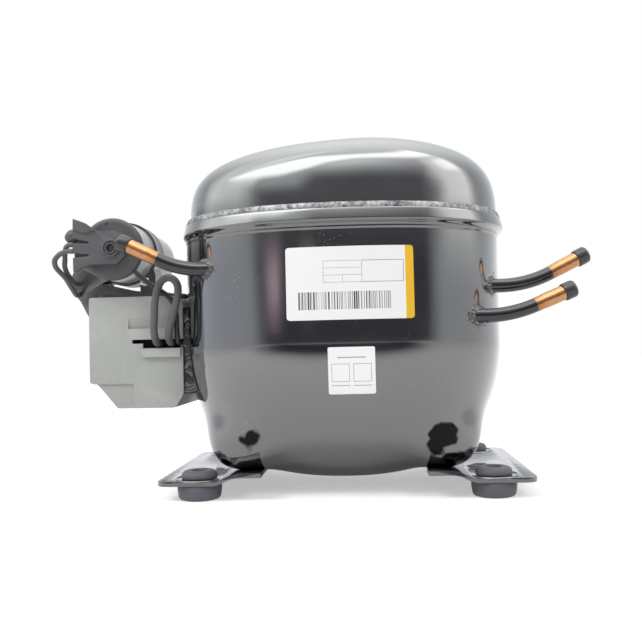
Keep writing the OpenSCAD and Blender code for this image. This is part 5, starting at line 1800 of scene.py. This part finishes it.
def room_light(tree):
    """The room as gloss mirrors it: soft boxes above and at the sides, dark in front."""
    x, y, z = add(tree, "SeparateXYZ", (object_place(tree),)).outputs
    turn = sums(tree, "ARCTAN2", x, times(tree, y, -1.0))
    wander = stretch(tree, cloud(tree, 0.8), 0.3, 0.7, -3.0, 3.0)
    around = plus(tree, times(tree, turn, degrees(1)), wander)
    level = sums(tree, "DIVIDE", z, ROOM_RADIUS * MM, clamp=True)
    up = times(tree, sums(tree, "ARCSINE", level), degrees(1))
    edge = between(tree, ease(tree, around, -34, 8), 35.0, 58.0)
    above = sums(tree, "SUBTRACT", up, edge)

    def patch(across, across_soft, height, height_soft):
        return times(tree, window(tree, around, *across, across_soft),
                     window(tree, up, *height, height_soft))

    low = blended(tree, ease(tree, up, 6, 14), (0.95, 0.97, 1.0), (0.72, 0.75, 0.78))
    light = blended(tree, ease(tree, up, 26, 85), low, (2.6, 2.65, 2.6))
    for mask, color in (
            (patch((-125, -56), 12, (-10, 11), 4), (0.98, 1.01, 1.12)),
            (patch((-132, -106), 5, (-4, 13), 3), (0.12, 0.12, 0.14)),
            (patch((-104, -52), 14, (14, 80), 7), (2.3, 2.4, 2.35)),
            (patch((-76, -44), 9, (28, 90), 7), (3.2, 3.3, 3.2)),
            (patch((60, 100), 11, (11, 56), 6), (2.9, 2.9, 2.85)),
            (patch((76, 98), 6, (38, 54), 4), (4.4, 4.4, 4.3))):
        light = blended(tree, mask, light, color)

    shade = blended(tree, ease(tree, up, 6, 16), (0.09, 0.09, 0.1), (0.3, 0.3, 0.32))
    climb = times(tree, ease(tree, up, 25, 64), stretch(tree, around, 0.0, 38.0, 1.0, 0.6))
    shade = blended(tree, climb, shade, (3.7, 3.8, 3.8))
    dark = times(tree, window(tree, around, -43, 50, 9), ease(tree, above, 2, -6))
    light = blended(tree, dark, light, shade)
    upper = stretch(tree, around, -78.0, -30.0, 38.0, 70.0)
    bright = times(tree, window(tree, around, -84, 100, 6), ease(tree, above, -4, 7),
                   ease(tree, sums(tree, "SUBTRACT", upper, up), -5, 3))
    for mask, color in (
            (times(tree, patch((-44, -16), 7, (22, 70), 6), 0.45), (2.6, 2.7, 2.7)),
            (patch((-37, -28), 4, (4, 9), 2.5), (1.5, 1.15, 1.3)),
            (patch((-19, -12), 3, (5, 8.5), 1.8), (1.9, 1.6, 1.7)),
            (bright, (5.6, 5.75, 5.65))):
        light = blended(tree, mask, light, color)
    return light


def make_room():
    """A wide half dome that only gloss sees."""
    tree, shader = new_material("room_light", Base_Color=(0.0, 0.0, 0.0),
                                Emission_Strength=ROOM_PEAK)
    scaled = add(tree, "VectorMath", {0: room_light(tree), "Scale": 1 / ROOM_PEAK},
                 operation="SCALE")
    dress(tree, shader, Emission_Color=scaled.outputs[0])
    rings = []
    for k in range(ROOM_RINGS):
        t = pi / 2 * k / ROOM_RINGS
        rings.append([polar(ROOM_RADIUS * cos(t), a, ROOM_RADIUS * sin(t))
                      for a in round_angles(96)])
    mirror_only(new_piece("room_dome", loft(rings, last=(0, 0, ROOM_RADIUS)), "room_light"))


def make_dark_mat():
    """The darker ground beyond the table's edge, behind the camera, seen only in gloss."""
    tree, shader = new_material("dark_ground", Base_Color=(0.07, 0.07, 0.075), Roughness=0.9,
                                Specular_IOR_Level=0.0)
    place = add(tree, "SeparateXYZ", (object_place(tree),)).outputs
    square = squared_distance(tree, place[0], plus(tree, place[1], GROUND_FRONT))
    dress(tree, shader, Alpha=ease(tree, sums(tree, "SQRT", square), GROUND_FAR, GROUND_NEAR))
    mirror_only(level_rectangle("dark_ground", (-1700, 1700), (-2450, -450), 3))


def make_lamp(name, place, toward, size, power, color=(1, 1, 1)):
    data = bpy.data.lights.new(name, "AREA")
    data.shape = "RECTANGLE"
    data.size, data.size_y = size[0] * MM, size[1] * MM
    data.energy = power
    data.color = color
    lamp = bpy.data.objects.new(name, data)
    lamp.location = Vector(place) * MM
    way = Vector(toward) - Vector(place)
    lamp.rotation_euler = way.to_track_quat("-Z", "Y").to_euler()
    lamp.visible_glossy = False
    bpy.context.scene.collection.objects.link(lamp)


def make_camera():
    data = bpy.data.cameras.new("Camera")
    data.lens = stage_look().camera_lens
    data.sensor_width = SENSOR
    data.sensor_fit = "AUTO"
    data.shift_x, data.shift_y = SHIFT_X, SHIFT_Y
    data.clip_start, data.clip_end = 0.01, 50
    camera = bpy.data.objects.new("Camera", data)
    matrix = camera_matrix()
    matrix.translation *= MM
    camera.matrix_world = matrix
    bpy.context.scene.collection.objects.link(camera)
    bpy.context.scene.camera = camera


class CompressorSetStage(bpy.types.Operator):
    """Lays the pale floor, hangs the lamps and sets the camera"""

    bl_idname = "compressor.set_stage"
    bl_label = "Stage"

    def execute(self, context):
        make_world(stage_look().sky_strength)
        make_floor(tuple(stage_look().floor_color))
        make_room()
        make_dark_mat()
        make_lamp("left_lamp", (-900, -700, 1150), (0, 0, 110), (700, 420), 9)
        make_lamp("right_lamp", (800, -900, 1000), (0, 0, 110), (350, 350), 4)
        make_camera()
        context.scene.view_settings.view_transform = "Standard"
        return {"FINISHED"}


# ---- Where things show in the image ----
STAGE_NAMES = ("floor", "room_dome", "dark_ground")
WELD_NEAR = 3
PRINT_GAP = 4


def image_of(name, keep=None):
    """Image points of a piece's vertices, or of those whose place is kept."""
    places = finished_points(bpy.data.objects[name])[0]
    return [in_image(p) for p in places if keep is None or keep(p)]


def middle_of(points):
    xs, ys = zip(*points)
    return (min(xs) + max(xs)) / 2, (min(ys) + max(ys)) / 2


def part_of(points, x_sign, y_sign):
    """The outermost image point towards one corner or side."""
    return max(points, key=lambda p: x_sign * p[0] + y_sign * p[1])


def measure_points():
    """Works out where pieces and the print show in the image; nothing is kept or returned."""
    bpy.context.view_layer.update()
    everything = []
    for piece in bpy.data.objects:
        if piece.type == "MESH" and not piece.hide_render and piece.name not in STAGE_NAMES:
            everything += image_of(piece.name)
    weld_x = IMAGE_POINTS["weld_front"][0]
    middle_of([p for p in image_of("weld_bead", lambda p: p.y < 0)
                                    if abs(p[0] - weld_x) < WELD_NEAR])
    part_of(image_of("suction_rubber_cap"), 1, 0)
    part_of(image_of("process_rubber_cap"), 1, 0)
    for name, side in (("left_grommet_foot", -1), ("right_grommet_foot", 1)):
        front = image_of("grommets", lambda p: p.x * side > 0 and p.y < 0)
    cover = image_of("grey_cover", lambda p: p.y < COVER_FRONT + 1)
    for name in ("rating", "approval"):
        film = image_of(f"{name}_film")
    middle_of(image_of("end_cap_mark"))
    measure_print()


def measure_print():
    """Image places of the printed stripe, box and bars."""
    mesh = bpy.data.objects["rating_film"].data
    spots = {0: [], 1: [], 2: [], 3: []}
    for face in mesh.polygons:
        spots[face.material_index] += [in_image(mesh.vertices[v].co / MM) for v in face.vertices]
    lowest = IMAGE_POINTS["table_low_right"][1] + PRINT_GAP
    box = [p for p in spots[2] + spots[3] if p[1] < lowest]
    bars = [p for p in spots[2] + spots[3] if p[1] > lowest]
    return {"stripe_left": (min(p[0] for p in spots[1]), None),
            "table_top_left": part_of(box, -1, -1), "table_low_right": part_of(box, 1, 1),
            "bars_low_left": part_of(bars, -1, 1)}


# ---- Panel and running ----
PIECES = (CompressorAddHousing, CompressorAddFeet, CompressorAddTubes, CompressorAddCover,
          CompressorAddCapacitor, CompressorAddLeads, CompressorAddLabels,
          CompressorFinishInside, CompressorSetStage)


class CompressorPanel(bpy.types.Panel):
    """Lists the compressor's pieces and their sizes and colours"""

    bl_idname = "VIEW3D_PT_compressor"
    bl_label = "Hermetic compressor"
    bl_space_type = "VIEW_3D"
    bl_region_type = "UI"
    bl_category = "Compressor"

    def draw(self, context):
        scene = context.scene
        for group in (scene.compressor_paint, scene.compressor_electrics,
                      scene.compressor_stage):
            box = self.layout.box()
            for name in group.bl_rna.properties.keys():
                if name not in ("rna_type", "name"):
                    box.prop(group, name)
        for piece in PIECES:
            self.layout.operator(piece.bl_idname)


CLASSES = (CompressorPaint, CompressorElectrics, CompressorStage, *PIECES, CompressorPanel)


def register():
    for made in CLASSES:
        bpy.utils.register_class(made)
    scene = bpy.types.Scene
    scene.compressor_paint = bpy.props.PointerProperty(type=CompressorPaint)
    scene.compressor_electrics = bpy.props.PointerProperty(type=CompressorElectrics)
    scene.compressor_stage = bpy.props.PointerProperty(type=CompressorStage)


def unregister():
    scene = bpy.types.Scene
    del scene.compressor_paint
    del scene.compressor_electrics
    del scene.compressor_stage
    for made in reversed(CLASSES):
        bpy.utils.unregister_class(made)


def main():
    register()
    build_groups()
    build_finishes()
    bpy.ops.compressor.add_housing()
    bpy.ops.compressor.add_feet()
    bpy.ops.compressor.add_tubes()
    bpy.ops.compressor.add_cover()
    bpy.ops.compressor.add_capacitor()
    bpy.ops.compressor.add_leads()
    bpy.ops.compressor.add_labels()
    bpy.ops.compressor.finish_inside()
    bpy.ops.compressor.set_stage()
    measure_points()


if __name__ == "__main__":
    main()
